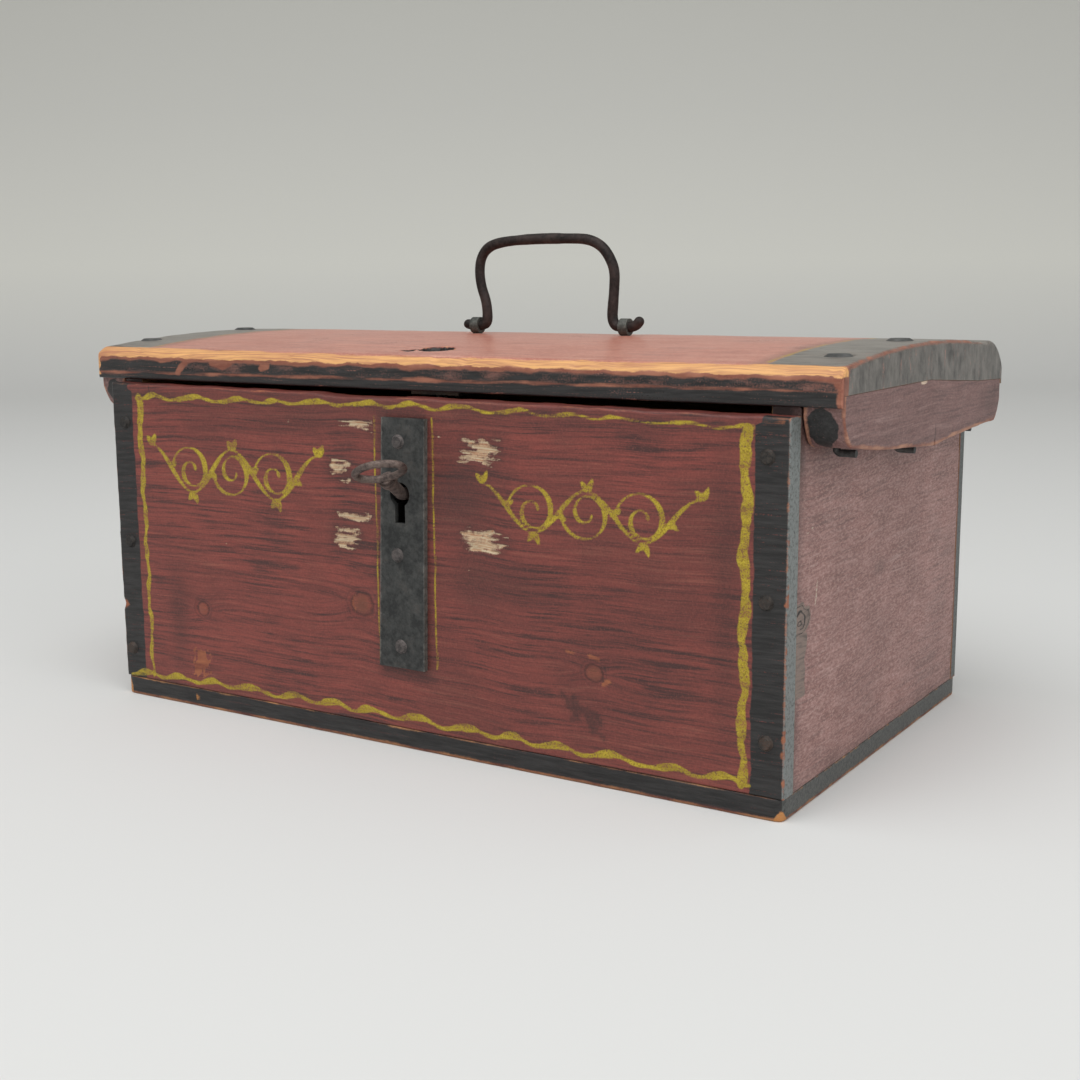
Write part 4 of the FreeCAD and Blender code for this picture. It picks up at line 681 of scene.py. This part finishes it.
for end, name in ((-1, "left_side_board"), (1, "right_side_board")):
    y_lines = ruled(BOARD_BACK, BACK_INSIDE, 1.7, 0.8)
    shares = ruled(0.0, 1.0, 1.7 / SIDE_TALL, 0.8 / SIDE_TALL)
    if end > 0:
        y_lines = refined(y_lines, -106.5, -83, 0.55)
        shares = refined(shares, 0.38, 0.56, 0.6 / SIDE_TALL)
    y, share = np.meshgrid(y_lines, shares, indexing="ij")
    tall = underside(y) - 0.3 - BOTTOM_TOP
    z = BOTTOM_TOP + share * tall
    gap = least(y - BOARD_BACK, BACK_INSIDE - y, share * tall, (1 - share) * tall)
    lean = fallen(gap, 0.6) + 0.10 * (1 + mottle(y, z * 2, 60 + end, 50.0))
    points, quads, depth = shell(joined(end * (HALF_LENGTH - lean), y, z),
                                 joined(end * SIDE_INSIDE, y, z), 4)
    x, y, z = points.T
    knot_y, knot_z = (-105.0, 84.5) if end > 0 else (40.0, 60.0)
    dy, dz = y - knot_y, z - knot_z
    rings = np.hypot(dy / 1.9, np.where(dz > 0, 0.8, 1.3) * dz) + 0.8 * mottle(y, z, 63, 14.0)
    ring_lines = np.maximum(abs(rings % 2.2 - 1.1) - 0.25, rings - 7.4)
    lift = (waver(y, 61 + end, 240.0, 1.4) + 0.4 * mottle(y, z, 62 + end, 110.0)
            + parted(dy, dz, 4, 14, 10))
    bare_strip = np.maximum(abs(y + 103.0) - 6.5 + 1.5 * mottle(y, z, 65, 20.0), abs(z - 65.5) - 14)
    marks = nearest(y, z, [([(-85.3, 99.9), (-86.4, 95.0), (-87.5, 90.1)], [0.3, 0.6, 0.4]),
                           ([(-101, 121.6), (-92, 124.5)], 0.3)])
    behind = y - BOARD_BACK
    # Darker towards the top, under the lid: painted shade with dirt. Darker also along the joints
    # with the front and the bottom boards.
    grime_and_shade = 0.55 * np.clip((z - 138) / 30, 0, 1) + 0.13 * (1 + mottle(y, z, 64, 70.0))
    grime_and_shade = np.clip(grime_and_shade + 0.5 * np.exp(-(behind / 5) ** 2)
                    + 0.35 * np.exp(-((z - BOTTOM_TOP) / 5) ** 2), 0, 1)
    grime_and_shade = np.maximum(grime_and_shade, 0.6 * blot(y, z, -8, 9, 93, 5))
    # The front top corner, under the lid and cleat, is darkest: painted shade with soot.
    grime_and_shade = np.maximum(grime_and_shade, 1.3 * np.exp(-(behind / 8) ** 2) * np.clip((z - 135) / 18, 0, 1))
    outside = depth < 0.5
    seen = outside & (end > 0)
    add_board(name + "_wood", points, quads, {
        "grain": joined(y, z + lift, x),
        "edge": 30.0,
        "bare": only(seen, marks),
        "black": only(seen, np.minimum(bare_strip, rings - 7.0)),
        "weathered": 1.0,
        "crack_and_hole_shade": only(seen, ring_lines),
        # On the inside, the front top corner seen through the gap under the lid is painted dark as
        # shade.
        "stain_and_shade": np.where(outside, grime_and_shade * 0.75, ((behind < 3) & (z > 165)) * 1.5),
        "inner": depth > 0.97,
    }, painted_board(name + "_paint_aged", tone(0.615, 0.44, 0.415), tone(0.42, 0.29, 0.27),
                     tone(0.76, 0.63, 0.605), tone(0.78, 0.72, 0.66), tone(0.62, 0.47, 0.41),
                     tone(0.50, 0.43, 0.395), 0.6, 0.9, 0.55),
        "base", name)


# Nails of the box: forged iron with faceted heads, painted over with the border and
# rubbed bare again. Those in the bottom are sunk into it.

def forged_iron(name, dark, light, rust, rusty, shine, pitch):
    """Old iron from the forge: dark scale, mottled with lighter wear and brown rust."""
    material, shader, place = new_finish(name)
    cloud = noise(place, 0.09)
    scale = noise(place, pitch, 5.0, 0.7)
    grit = noise(place, 2.6, 3.0, 0.7)
    colour = blended(above(scale * 0.6 + cloud * 0.4, 0.52, 0.22), dark, light)
    colour = blended(above(grit * 0.5 + cloud * 0.5, 0.60 - rusty, 0.12) * 0.8, colour, rust)
    colour = blended(above(grit, 0.66, 0.08) * 0.5, colour, tone(0.08, 0.08, 0.08))
    feed(shader.inputs["Base Color"], colour)
    feed(shader.inputs["Metallic"], (shine - above(cloud, 0.6, 0.2) * 0.3).clamped())
    feed(shader.inputs["Roughness"], (0.42 + scale * 0.35).clamped())
    dented(shader, scale * 0.6 + grit * 0.35 + cloud * 0.6, 0.6, 0.0005)
    return material


def repaint(material, *nodes):
    """Give CAD nodes a material in place of their plain ones."""
    for node in nodes:
        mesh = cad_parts[node].data
        for index in range(len(mesh.materials)):
            mesh.materials[index] = material


repaint(forged_iron("nail_iron_worn", tone(0.17, 0.165, 0.165), tone(0.30, 0.28, 0.26),
                    tone(0.30, 0.20, 0.15), 0.02, 0.45, 0.7),
        "front_nails", "back_nails", "bottom_nails")


# Lock plate: a long strip cut from sheet iron by hand, dark with scale. Its edges are
# lighter, partly rubbed iron and partly a painted highlight. Three nails hold it, bent over inside.

plate_iron = forged_iron("plate_iron_dark", tone(0.175, 0.18, 0.18), tone(0.30, 0.305, 0.30),
                         tone(0.27, 0.22, 0.18), -0.01, 0.35, 0.35)
nodes = plate_iron.node_tree.nodes
base_colour = nodes["Principled BSDF"].inputs["Base Color"]
iron_colour = Socket(base_colour.links[0].from_socket)
place = Socket(nodes["Texture Coordinate"].outputs["Object"])
across, _, up = (place.node("ShaderNodeSeparateXYZ", {0: place}, k) for k in range(3))
left_rim = across / MM + 16.6 - up * 39.5
right_rim = 11.5 + up * 26.2 - across / MM
rim = left_rim.math("MINIMUM", left_rim, right_rim)
rubbing_and_glint = noise(place, 400.0, 4.0, 0.7)
# Lighter along the plate's edges: rubbed iron, and a painted highlight where the sharp edges would
# catch the light.
feed(base_colour, blended((0.8 - (rim + (rubbing_and_glint - 0.5) * 3.0)).clamped() * 0.75, iron_colour,
                          tone(0.46, 0.45, 0.43)))
repaint(plate_iron, "lock_plate")
repaint(forged_iron("plate_nail_iron", tone(0.26, 0.25, 0.25), tone(0.45, 0.42, 0.41),
                    tone(0.30, 0.22, 0.18), 0.0, 0.5, 0.6), "lock_plate_nails")


# Lock inside the front: back plate, case, nails, rivets, spring and latch, all of
# iron, and the staple with its plate that hangs from the lid and is caught by the latch.

repaint(forged_iron("lock_case_iron", tone(0.20, 0.19, 0.18), tone(0.36, 0.34, 0.31),
                    tone(0.34, 0.22, 0.14), 0.05, 0.5, 0.15),
        "lock_back_plate", "lock_case", "lock_case_nails", "latch_pivot", "key_post",
        "spring_stud", "latch_hook", "latch_spring", "lid_staple", "staple_plate",
        "staple_plate_nails")


# Key: a forged pipe key with an oval bow, standing in the lock. Its iron is pale brown
# where hands have rubbed it.

repaint(forged_iron("key_iron_rubbed", tone(0.30, 0.26, 0.25), tone(0.52, 0.46, 0.43),
                    tone(0.36, 0.25, 0.20), 0.0, 0.55, 0.45), "key")


# Lid: one thick board, flat below and crowned above, with a rounded nose. The crown is
# red between ends of black gone grey, with a thin yellow line beside each, and the
# front arris is worn to the wood. A knot has fallen out near the front.

LID_END = 218.9
LID_FRONT = -110.9
LID_BACK = 117.9
REBATE = 200.6


def arc_through(start, via, end, count):
    """Points of the circle through three points, evenly turned from start to end."""
    (ax, ay), (bx, by), (cx, cy) = start, via, end
    twice = 2 * (ax * (by - cy) + bx * (cy - ay) + cx * (ay - by))
    aa, bb, cc = ax * ax + ay * ay, bx * bx + by * by, cx * cx + cy * cy
    ux = (aa * (by - cy) + bb * (cy - ay) + cc * (ay - by)) / twice
    uy = (aa * (cx - bx) + bb * (ax - cx) + cc * (bx - ax)) / twice
    ends = np.unwrap([math.atan2(py - uy, px - ux) for px, py in (start, via, end)])
    turn = np.linspace(ends[0], ends[2], count)
    radius = math.hypot(ax - ux, ay - uy)
    return joined(ux + radius * np.cos(turn), uy + radius * np.sin(turn))


crown = np.concatenate([
    arc_through((LID_FRONT, 188.51), (-109.30, 192.20), (-105.0, 194.21), 30)[:-1],
    arc_through((-105.0, 194.21), (-8.49, 200.0), (88.50, 195.51), 80)[:-1],
    arc_through((88.50, 195.51), (110.51, 190.49), (LID_BACK, 179.0), 40)])
ROOF = np.array([(-108.1, 182.12), (-1.16, 182.19), (74.6, 177.01), (114.7, 175.51)])
SEATS = ((-79.0, 196.3), (-1.8, 199.84), (84.4, 194.9))
LEFT_NAIL, RIGHT_NAIL = -211.0, 203.5
HOLE_X, HOLE_Y = -1.5, -86.5


def lid_top(y):
    """Height of the crown at y."""
    return np.interp(y, crown[:, 0], crown[:, 1])


def holes(x, y):
    """Distances from the fallen knot's hole and from a pit beside it, 1 at their rims."""
    hole_y = HOLE_Y + waver(x, 74, 9.0, 0.6)
    return (np.hypot((x - HOLE_X) / 8.4, (y - hole_y) / 7.0),
            np.hypot((x - HOLE_X + 12.4) / 4.6, (y - HOLE_Y + 7.0) / 3.2))


near_front = LID_FRONT + np.array([0, 0.05, 0.15, 0.3, 0.55, 0.9, 1.4, 2.0, 2.8, 2.9, 3.8, 4.9])
near_back = LID_BACK - np.array([0, 0.05, 0.15, 0.35, 0.7, 1.2, 2.0, 3.1, 3.3, 4.4, 5.8, 7.4])
y_lines = np.concatenate([near_front, np.linspace(-104.8, -98, 5), np.linspace(-97.2, -76, 28),
                          np.linspace(-74.5, 109.2, 95), near_back[::-1]])
over_cleat = ruled(REBATE + 0.04, LID_END, 1.3, 2.4)
over_box = REBATE - 0.04
x_lines = np.concatenate([-over_cleat[::-1], np.linspace(-over_box, -19, 109),
                          np.linspace(-18, 16, 38), np.linspace(17.2, over_box, 111), over_cleat])
x, y = np.meshgrid(x_lines, y_lines, indexing="ij")
flat_x, flat_y = round_corners(x, y, (-LID_END, LID_END), (LID_FRONT, LID_BACK), 2.2)
end_wear = 2.2 + 0.9 * abs(waver(y, 71, 45.0, 1.0))
top = lid_top(y) - fallen(LID_END - abs(x), end_wear) * np.clip((y - LID_FRONT) / 6, 0.3, 1)
front_chips = np.clip(mottle(x, y * 0, 72, 26.0) - 0.35, 0, 1)
nose = np.exp(-((y - LID_FRONT - 2.0) / 2.6) ** 2)
top = top - nose * (0.25 + 0.9 * front_chips) - 0.10 * (1 + mottle(x, y * 2.5, 73, 70.0))
for seat_y, seat_z in SEATS:
    for nail_x in (LEFT_NAIL, RIGHT_NAIL):
        away = np.hypot(x - nail_x, y - seat_y)
        top = np.where(away < 8.2, np.minimum(top, seat_z - 0.02 + np.clip(away - 6.9, 0, 2)), top)
knot_hole, small_pit = holes(x, y)
top = top - 7.0 * np.clip((1.12 - knot_hole) / 0.30, 0, 1)
top = top - 1.6 * np.clip((1.1 - small_pit) / 0.5, 0, 1)
roofed = (abs(x) > REBATE) & (y > ROOF[0, 0]) & (y < ROOF[-1, 0])
low = np.where(roofed, np.interp(y, *ROOF.T), underside(y) + fallen(y - LID_FRONT, 0.9))
points, quads, depth = shell(joined(flat_x, flat_y, top), joined(flat_x, flat_y, low), 12)
x, y, z = points.T
end_gap = LID_END - abs(x)
on_end = end_gap < 0.3
on_nose = (y < LID_FRONT + 0.05) & ~on_end
on_top = (depth == 0) & ~on_end
front_part = y < LID_FRONT + 6.5
pink_line = 182.4 + 0.0085 * x + waver(x, 75, 60.0, 0.35)
honey_low = 189.6 + 0.0025 * x + waver(x, 76, 24.0, 0.5) + 0.3 * mottle(x, z, 77, 10.0)
honey_high = 193.2 + 1.0 * ((x - 20) / 190) ** 2 + waver(x, 78, 50.0, 0.3)
honey = np.maximum(honey_low - z, z - honey_high)
rubbed_line = abs(z - pink_line) + 0.2 - 0.35 * mottle(x, 0 * x, 79, 60.0)
fringe = np.maximum(z - honey_low, honey_low - z - 1.4) + 0.25 - 0.5 * mottle(x, z, 87, 30.0)
right_corner = only(x > 0, end_gap - 2.0 + mottle(x, z, 88, 12.0))
left_corner = only(x < 0, end_gap - 2.8 + 1.2 * mottle(x, z, 80, 9.0))
chips = nearest(x, z, [([(-131, 187.5), (-123, 186.4), (-118, 187.2)], [0.9, 1.5, 0.6]),
                       ([(-150, 187.2), (-154, 184.3), (-156, 181.5)], [0.7, 0.6, 0.4]),
                       ([(-96, 185.5), (-92, 186.6)], 0.5)])
pink_rub = only(front_part, least(rubbed_line, fringe, right_corner, chips - 0.5))
black = only(on_top, 183.0 + 0.6 * mottle(x, y, 81, 40.0) - abs(x))
black = np.where(y < LID_FRONT + np.where(depth == 1, 1.6, 0.6),
                 np.where(z > pink_line, -0.26, -0.8), black)
black = np.where(on_end | (y > LID_BACK - 1.0), -3.0, black)
yellow = only((depth == 0) & (y > LID_FRONT + 9),
              abs(abs(x) - 181.6) - 0.9 + 0.3 * mottle(x, y, 82, 30.0))
arris = only(y > LID_FRONT + 1, np.hypot(end_gap, np.minimum(z - lid_top(y), 0)))
knot_hole, small_pit = holes(x, y)
# Inside the fallen knot's hole and the pit beside it the wood is painted near black: painted shade
# in the holes.
knot_hole = (knot_hole - 1.13) * 5
cracks = nearest(x - HOLE_X, y - HOLE_Y, [
    ([(-7, -2), (-16, -5), (-21, -9), (-24, -14)], [0.6, 0.4, 0.3, 0.1]),
    ([(7, 0), (13, -2), (22, -1)], [0.5, 0.3, 0.1]),
    ([(-4, -6), (0, -12), (1.5, -17)], [0.2, 0.2, 0.05])])
rim = abs(knot_hole - 0.7) + 0.15 + 0.5 * mottle(x, y, 83, 8.0)
bare = least(only(front_part, np.minimum(honey, left_corner)), only(on_top, rim))
knot = np.hypot((x + 128) / 2.2, (z - 190.5) * 1.3) / 3.6 + 0.1 * mottle(x, z, 84, 8.0)
lift = (waver(x, 85, 300.0, 1.6) + 0.5 * mottle(x, y, 86, 150.0)
        + parted(x - HOLE_X, y - HOLE_Y, 6, 22, 12))
across = np.where(on_top | (depth == 1), y + lift, z + 0.3 * lift)
add_board("lid_board_wood", points, quads, {
    "grain": np.where(on_end[:, None], joined(z * 2.0 + y * 0.6, y * 0.3, x),
                      joined(x, across, z * 0.2)),
    "edge": np.minimum(only(arris < 30, arris - 0.9 + np.clip((y - 60) / 25, 0, 2)), pink_rub),
    "black": black, "yellow": yellow,
    "bare": only(depth < 1, bare),
    "crack_and_hole_shade": only(on_top, least(knot_hole, (small_pit - 0.8) * 3, cracks)),
    "knot": only(front_part, knot),
    "stain_and_shade": np.where(on_top, 0.4 * np.exp(-((abs(x) - 180) / 5) ** 2),
                      (on_nose & (z > pink_line) & (z < honey_low)) * 0.55),
    "weathered": np.where(on_end, 0.55, (on_top & (z > honey_high - 0.5)) * 0.95),
    "inner": (depth == 1) & (y > LID_FRONT + 1.5),
}, painted_board("lid_paint_aged", tone(0.78, 0.51, 0.44), tone(0.60, 0.35, 0.31),
                 tone(0.90, 0.71, 0.63), tone(0.90, 0.68, 0.44), tone(0.66, 0.43, 0.34),
                 tone(0.50, 0.48, 0.455), 0.7, 1.0, 0.25, 0.26),
    "lid", "lid_board")


# Cleats: a strip of wood hangs under each end of the lid, let up into it and nailed.
# Their red is rubbed to a greyish pink, the lower arris is bare, the noses are black.

CLEAT_FRONT, CLEAT_BACK = -107.9, 114.5
CLEAT_INSIDE = 200.8
UNDER = np.array([
    (CLEAT_FRONT, 175.21), (-107.3, 171.9), (-106.3, 169.0), (-104.9, 166.0), (-103.2, 163.1),
    (-101.2, 161.0), (-98.6, 159.7), (-93.5, 159.31), (-65.2, 155.6), (9.6, 150.3),
    (55.6, 152.7), (105.5, 154.2), (108.5, 155.6), (111.3, 158.6), (113.0, 162.4),
    (114.1, 166.4), (CLEAT_BACK, 169.99)])
for end, name in ((-1, "left_cleat"), (1, "right_cleat")):
    y_lines = np.unique(np.concatenate([UNDER[:, 0], ruled(CLEAT_FRONT, CLEAT_BACK, 1.5, 1.4)]))
    y, share = np.meshgrid(y_lines, ruled(0.0, 1.0, 0.05, 0.04), indexing="ij")
    roof = np.interp(y, *ROOF.T) - 0.2
    split = np.clip(1 - abs(y - (9.1 - waver(roof, 93, 30.0, 0.2))) / 1.1, 0, 1)
    low = (np.interp(y, *UNDER.T) + 4.5 * split * (end > 0)
           + 0.12 * (1 + waver(y, 94, 30.0, 1.0)))
    z = low + share * (roof - low)
    gap = least(z - low, y - CLEAT_FRONT, CLEAT_BACK - y)
    worn = np.clip(1.3 + waver(y, 91 + end, 50.0, 0.6), 0.6, 2.4)
    outer = fallen(gap, worn) + np.maximum(0.10 * (1 + mottle(y, z * 2, 92 + end, 30.0)), 0.0)
    points, quads, depth = shell(joined(end * (LID_END - outer), y, z),
                                 joined(end * (CLEAT_INSIDE + fallen(gap, 0.8)), y, z), 8)
    x, y, z = points.T
    outside = LID_END - abs(x)
    rise = least(z - np.interp(y, *UNDER.T), (y - CLEAT_FRONT) * 1.2, 20.0)
    edge = np.maximum(np.minimum(outside, abs(x) - CLEAT_INSIDE), rise * 0.8)
    nose = np.hypot((abs(x) - 208.6) / 7.2, (z - 168.5) / 8.5) * 8 - 8 + mottle(x, z, 95, 9.0)
    split = stroke(y, z, [(9.6, 149.5), (9.1, 153.5), (9.6, 158.0), (8.6, 164.0)],
                   [0.7, 0.5, 0.25, 0.05])
    chip = np.hypot((y + 9.4) / 4.6, (z - 181.8) / 1.3) * 1.5 - 1.5
    lift = waver(y, 96, 200.0, 0.8) + 0.15 * mottle(y, z, 97, 60.0)
    add_board(name + "_wood", points, quads, {
        "grain": joined(y, z + lift, x),
        "edge": edge - 0.5,
        "black": only((y < -97) & (outside > 1.2), nose),
        "bare": only((depth < 0.1) & (end > 0), chip),
        "crack_and_hole_shade": only((depth < 0.3) & (end > 0), split),
        "stain_and_shade": 0.35 * blot(y, z, 100, 22, 165, 10),
    }, painted_board(name + "_paint_aged", tone(0.50, 0.37, 0.355), tone(0.34, 0.24, 0.235),
                     tone(0.62, 0.50, 0.48), tone(0.84, 0.78, 0.70), tone(0.74, 0.55, 0.45),
                     tone(0.38, 0.4, 0.4), 0.9, 1.2, 0.3),
        "lid", name)


# Lid nails: forged iron, three through each end of the lid and bent over below. Their
# wide flat heads are sunk level with the crown and painted grey with the ends.

repaint(forged_iron("lid_nail_iron", tone(0.22, 0.225, 0.225), tone(0.38, 0.385, 0.38),
                    tone(0.27, 0.22, 0.19), -0.02, 0.3, 0.3), "lid_nails")


# Handle and its eyes: a bail of one dark brown rod, its ends curled outside two
# grey-green iron eyes whose legs go through the lid.

repaint(forged_iron("eye_iron_dull", tone(0.24, 0.25, 0.24), tone(0.42, 0.43, 0.41),
                    tone(0.28, 0.22, 0.19), -0.01, 0.4, 0.6),
        "left_handle_eye", "right_handle_eye")

EYE_HEIGHT = 204.5
LEFT_EYE, RIGHT_EYE = -37.3, 56.3
HANDLE_LINE = np.array([
    (LEFT_EYE - 8.2, 2.0), (LEFT_EYE - 6, 0.4), (LEFT_EYE - 3, 0), (LEFT_EYE, 0),
    (LEFT_EYE + 3.5, 0), (-30.9, 1.2), (-30.4, 5.6), (-31.2, 13), (-34.4, 21), (-35.5, 29),
    (-34.3, 36.6), (-29.5, 42.2), (-21, 44.6), (-8, 45.6), (6, 46.0), (20, 45.8), (34, 45.4),
    (42.2, 41.6), (47, 35.6), (49.9, 28.8), (49.6, 20), (48.8, 11), (48.3, 4.6),
    (50, 0.7), (RIGHT_EYE - 3, 0), (RIGHT_EYE, 0), (RIGHT_EYE + 3.5, 0), (RIGHT_EYE + 7, 1.2),
    (RIGHT_EYE + 9.5, 5.0)])
ROD = 2.68


def bent_round(corners, rounds):
    """A line whose corners are cut again and again, which turns it into smooth bends."""
    for _ in range(rounds):
        near = corners[:-1] * 0.75 + corners[1:] * 0.25
        far = corners[:-1] * 0.25 + corners[1:] * 0.75
        between = np.stack([near, far], 1).reshape(-1, 2)
        corners = np.concatenate([corners[:1], between, corners[-1:]])
    return corners


def rod(line, thickness, sides):
    """A round rod along a line in the xz plane, with domed ends: rings and their faces.

    The ring around each point is at right angles to the line there, and its radius falls
    to nearly nothing within one radius of an end, as the height of a circle does.
    """
    gone = np.concatenate([[0], np.cumsum(np.hypot(*np.diff(line, axis=0).T))])
    ways = np.gradient(line, axis=0)
    ways /= np.hypot(*ways.T)[:, None]
    from_end = np.minimum(gone, gone[-1] - gone)
    radius = thickness * np.sqrt(1 - np.clip(1 - from_end / thickness, 0, 0.999) ** 2)
    turn = np.arange(sides) * 2 * math.pi / sides
    out = np.cos(turn)[None] * radius[:, None]
    points = joined(line[:, :1] - ways[:, 1:] * out, np.sin(turn)[None] * radius[:, None],
                    line[:, 1:] + ways[:, :1] * out).reshape(-1, 3)
    index = np.arange(len(points)).reshape(-1, sides)
    after = np.roll(index, -1, axis=1)
    quads = joined(index[:-1], index[1:], after[1:], after[:-1]).reshape(-1, 4)
    return points, quads.tolist() + [index[0].tolist(), index[-1, ::-1].tolist()]


line = bent_round(HANDLE_LINE, 3)
tips = [line[:1] + (line[1:2] - line[:1]) * k for k in (0, 0.1, 0.3, 0.6)]
ends = [line[-1:] + (line[-2:-1] - line[-1:]) * k for k in (0.6, 0.3, 0.1, 0)]
line = np.concatenate(tips + [line[1:-1]] + ends)
from_eyes = np.minimum(abs(line[:, 0] - LEFT_EYE), abs(line[:, 0] - RIGHT_EYE))
swell = np.clip((from_eyes - 3.5) / 6, 0, 1) * (0.1 + waver(line[:, 0] + line[:, 1], 98, 40, 0.16))
points, faces = rod(line, ROD + swell, 20)
points[:, 2] += EYE_HEIGHT
add_piece("handle_bail", points, faces,
          forged_iron("handle_iron_brown", tone(0.10, 0.085, 0.08), tone(0.25, 0.21, 0.20),
                      tone(0.24, 0.17, 0.145), 0.0, 0.45, 0.5),
          "handle", "handle")


# Hinges: two iron wire staples through the back board, and on each of them the eye of
# a pointed pin that is driven into the lid's back edge. All of them are rusty.

repaint(forged_iron("hinge_iron_rusty", tone(0.20, 0.18, 0.17), tone(0.36, 0.32, 0.29),
                    tone(0.36, 0.22, 0.14), 0.04, 0.45, 0.4),
        "left_hinge_staple", "left_hinge_eye", "right_hinge_staple", "right_hinge_eye")


# Floor and backdrop: one pale sheet that lies flat below the box and sweeps up behind
# it. It isn't part of the box.

VIEW_YAW = math.radians(32.65)


def swept_sheet():
    """A wide sheet, square to the view: flat, then a quarter circle, then straight up."""
    turn = np.linspace(0, math.pi / 2, 24)
    bend = joined(2.2 + 1.4 * np.sin(turn), 1.4 - 1.4 * np.cos(turn))
    profile = np.concatenate([[[-4.0, 0.0]], bend, [[3.6, 6.0]]])
    wide, deep = np.meshgrid(np.linspace(-6.0, 6.0, 9), profile[:, 0], indexing="ij")
    grid = joined(wide * math.cos(VIEW_YAW) - deep * math.sin(VIEW_YAW),
                  wide * math.sin(VIEW_YAW) + deep * math.cos(VIEW_YAW), profile[:, 1])
    return grid.reshape(-1, 3), cells(np.arange(wide.size).reshape(wide.shape)).reshape(-1, 4)


points, quads = swept_sheet()
mesh = bpy.data.meshes.new("studio_sheet")
mesh.from_pydata(points.tolist(), [], quads.tolist())
mesh.shade_smooth()
sheet_material, shader, place = new_finish("pale_studio_sheet")
height = place.node("ShaderNodeSeparateXYZ", {0: place}, 2)
# The sheet is one pale grey; this ramp paints the light on it: brightest just above the floor on the
# bend, darker higher up the backdrop where less light falls.
feed(shader.inputs["Base Color"], height.node(
    "ShaderNodeValToRGB", {0: height / 4000}, 0,
    [(0.0, tone(0.858, 0.863, 0.860)), (0.065, tone(0.915, 0.917, 0.893)),
     (0.17, tone(0.855, 0.857, 0.838)), (0.40, tone(0.76, 0.76, 0.735))]))
feed(shader.inputs["Roughness"], 0.9)
mesh.materials.append(sheet_material)
studio = bpy.data.objects.new("studio_sheet", mesh)
bpy.context.scene.collection.objects.link(studio)


# Light: an even pale surround, a broad soft lamp above the front, and a weaker one
# from the right.

world = bpy.data.worlds.new("pale_surround")
world.use_nodes = True
surround = world.node_tree.nodes["Background"].inputs
surround["Color"].default_value = (1.0, 0.99, 0.97, 1.0)
surround["Strength"].default_value = 0.54
bpy.context.scene.world = world
LAMP_AIM = Vector((0, 0, 0.1))
for name, spot, size, power in (("broad_lamp", (0.2, -1.1, 2.2), 2.4, 41.0),
                                ("side_lamp", (2.2, -0.6, 1.2), 1.6, 9.0)):
    lamp = bpy.data.lights.new(name, "AREA")
    lamp.size = size
    lamp.energy = power
    holder = bpy.data.objects.new(name, lamp)
    holder.location = spot
    way = LAMP_AIM - Vector(spot)
    holder.rotation_euler = way.to_track_quat("-Z", "Y").to_euler()
    bpy.context.scene.collection.objects.link(holder)


# Camera: where the photograph was taken from, with its lens. Both were fitted to the
# corners of the box and of the lid in it.

camera = bpy.data.cameras.new("photo_camera")
camera.sensor_width = 36.0
camera.lens = 50.04
camera.clip_start = 0.01
viewer = bpy.data.objects.new("photo_camera", camera)
turned = (Matrix.Rotation(VIEW_YAW, 4, "Z")
          @ Matrix.Rotation(math.radians(90 - 10.04), 4, "X")
          @ Matrix.Rotation(math.radians(-0.48), 4, "Z"))
viewer.matrix_world = Matrix.Translation((0.4426, -0.68695, 0.23185)) @ turned
bpy.context.scene.collection.objects.link(viewer)
bpy.context.scene.camera = viewer
bpy.context.scene.view_settings.view_transform = "Standard"
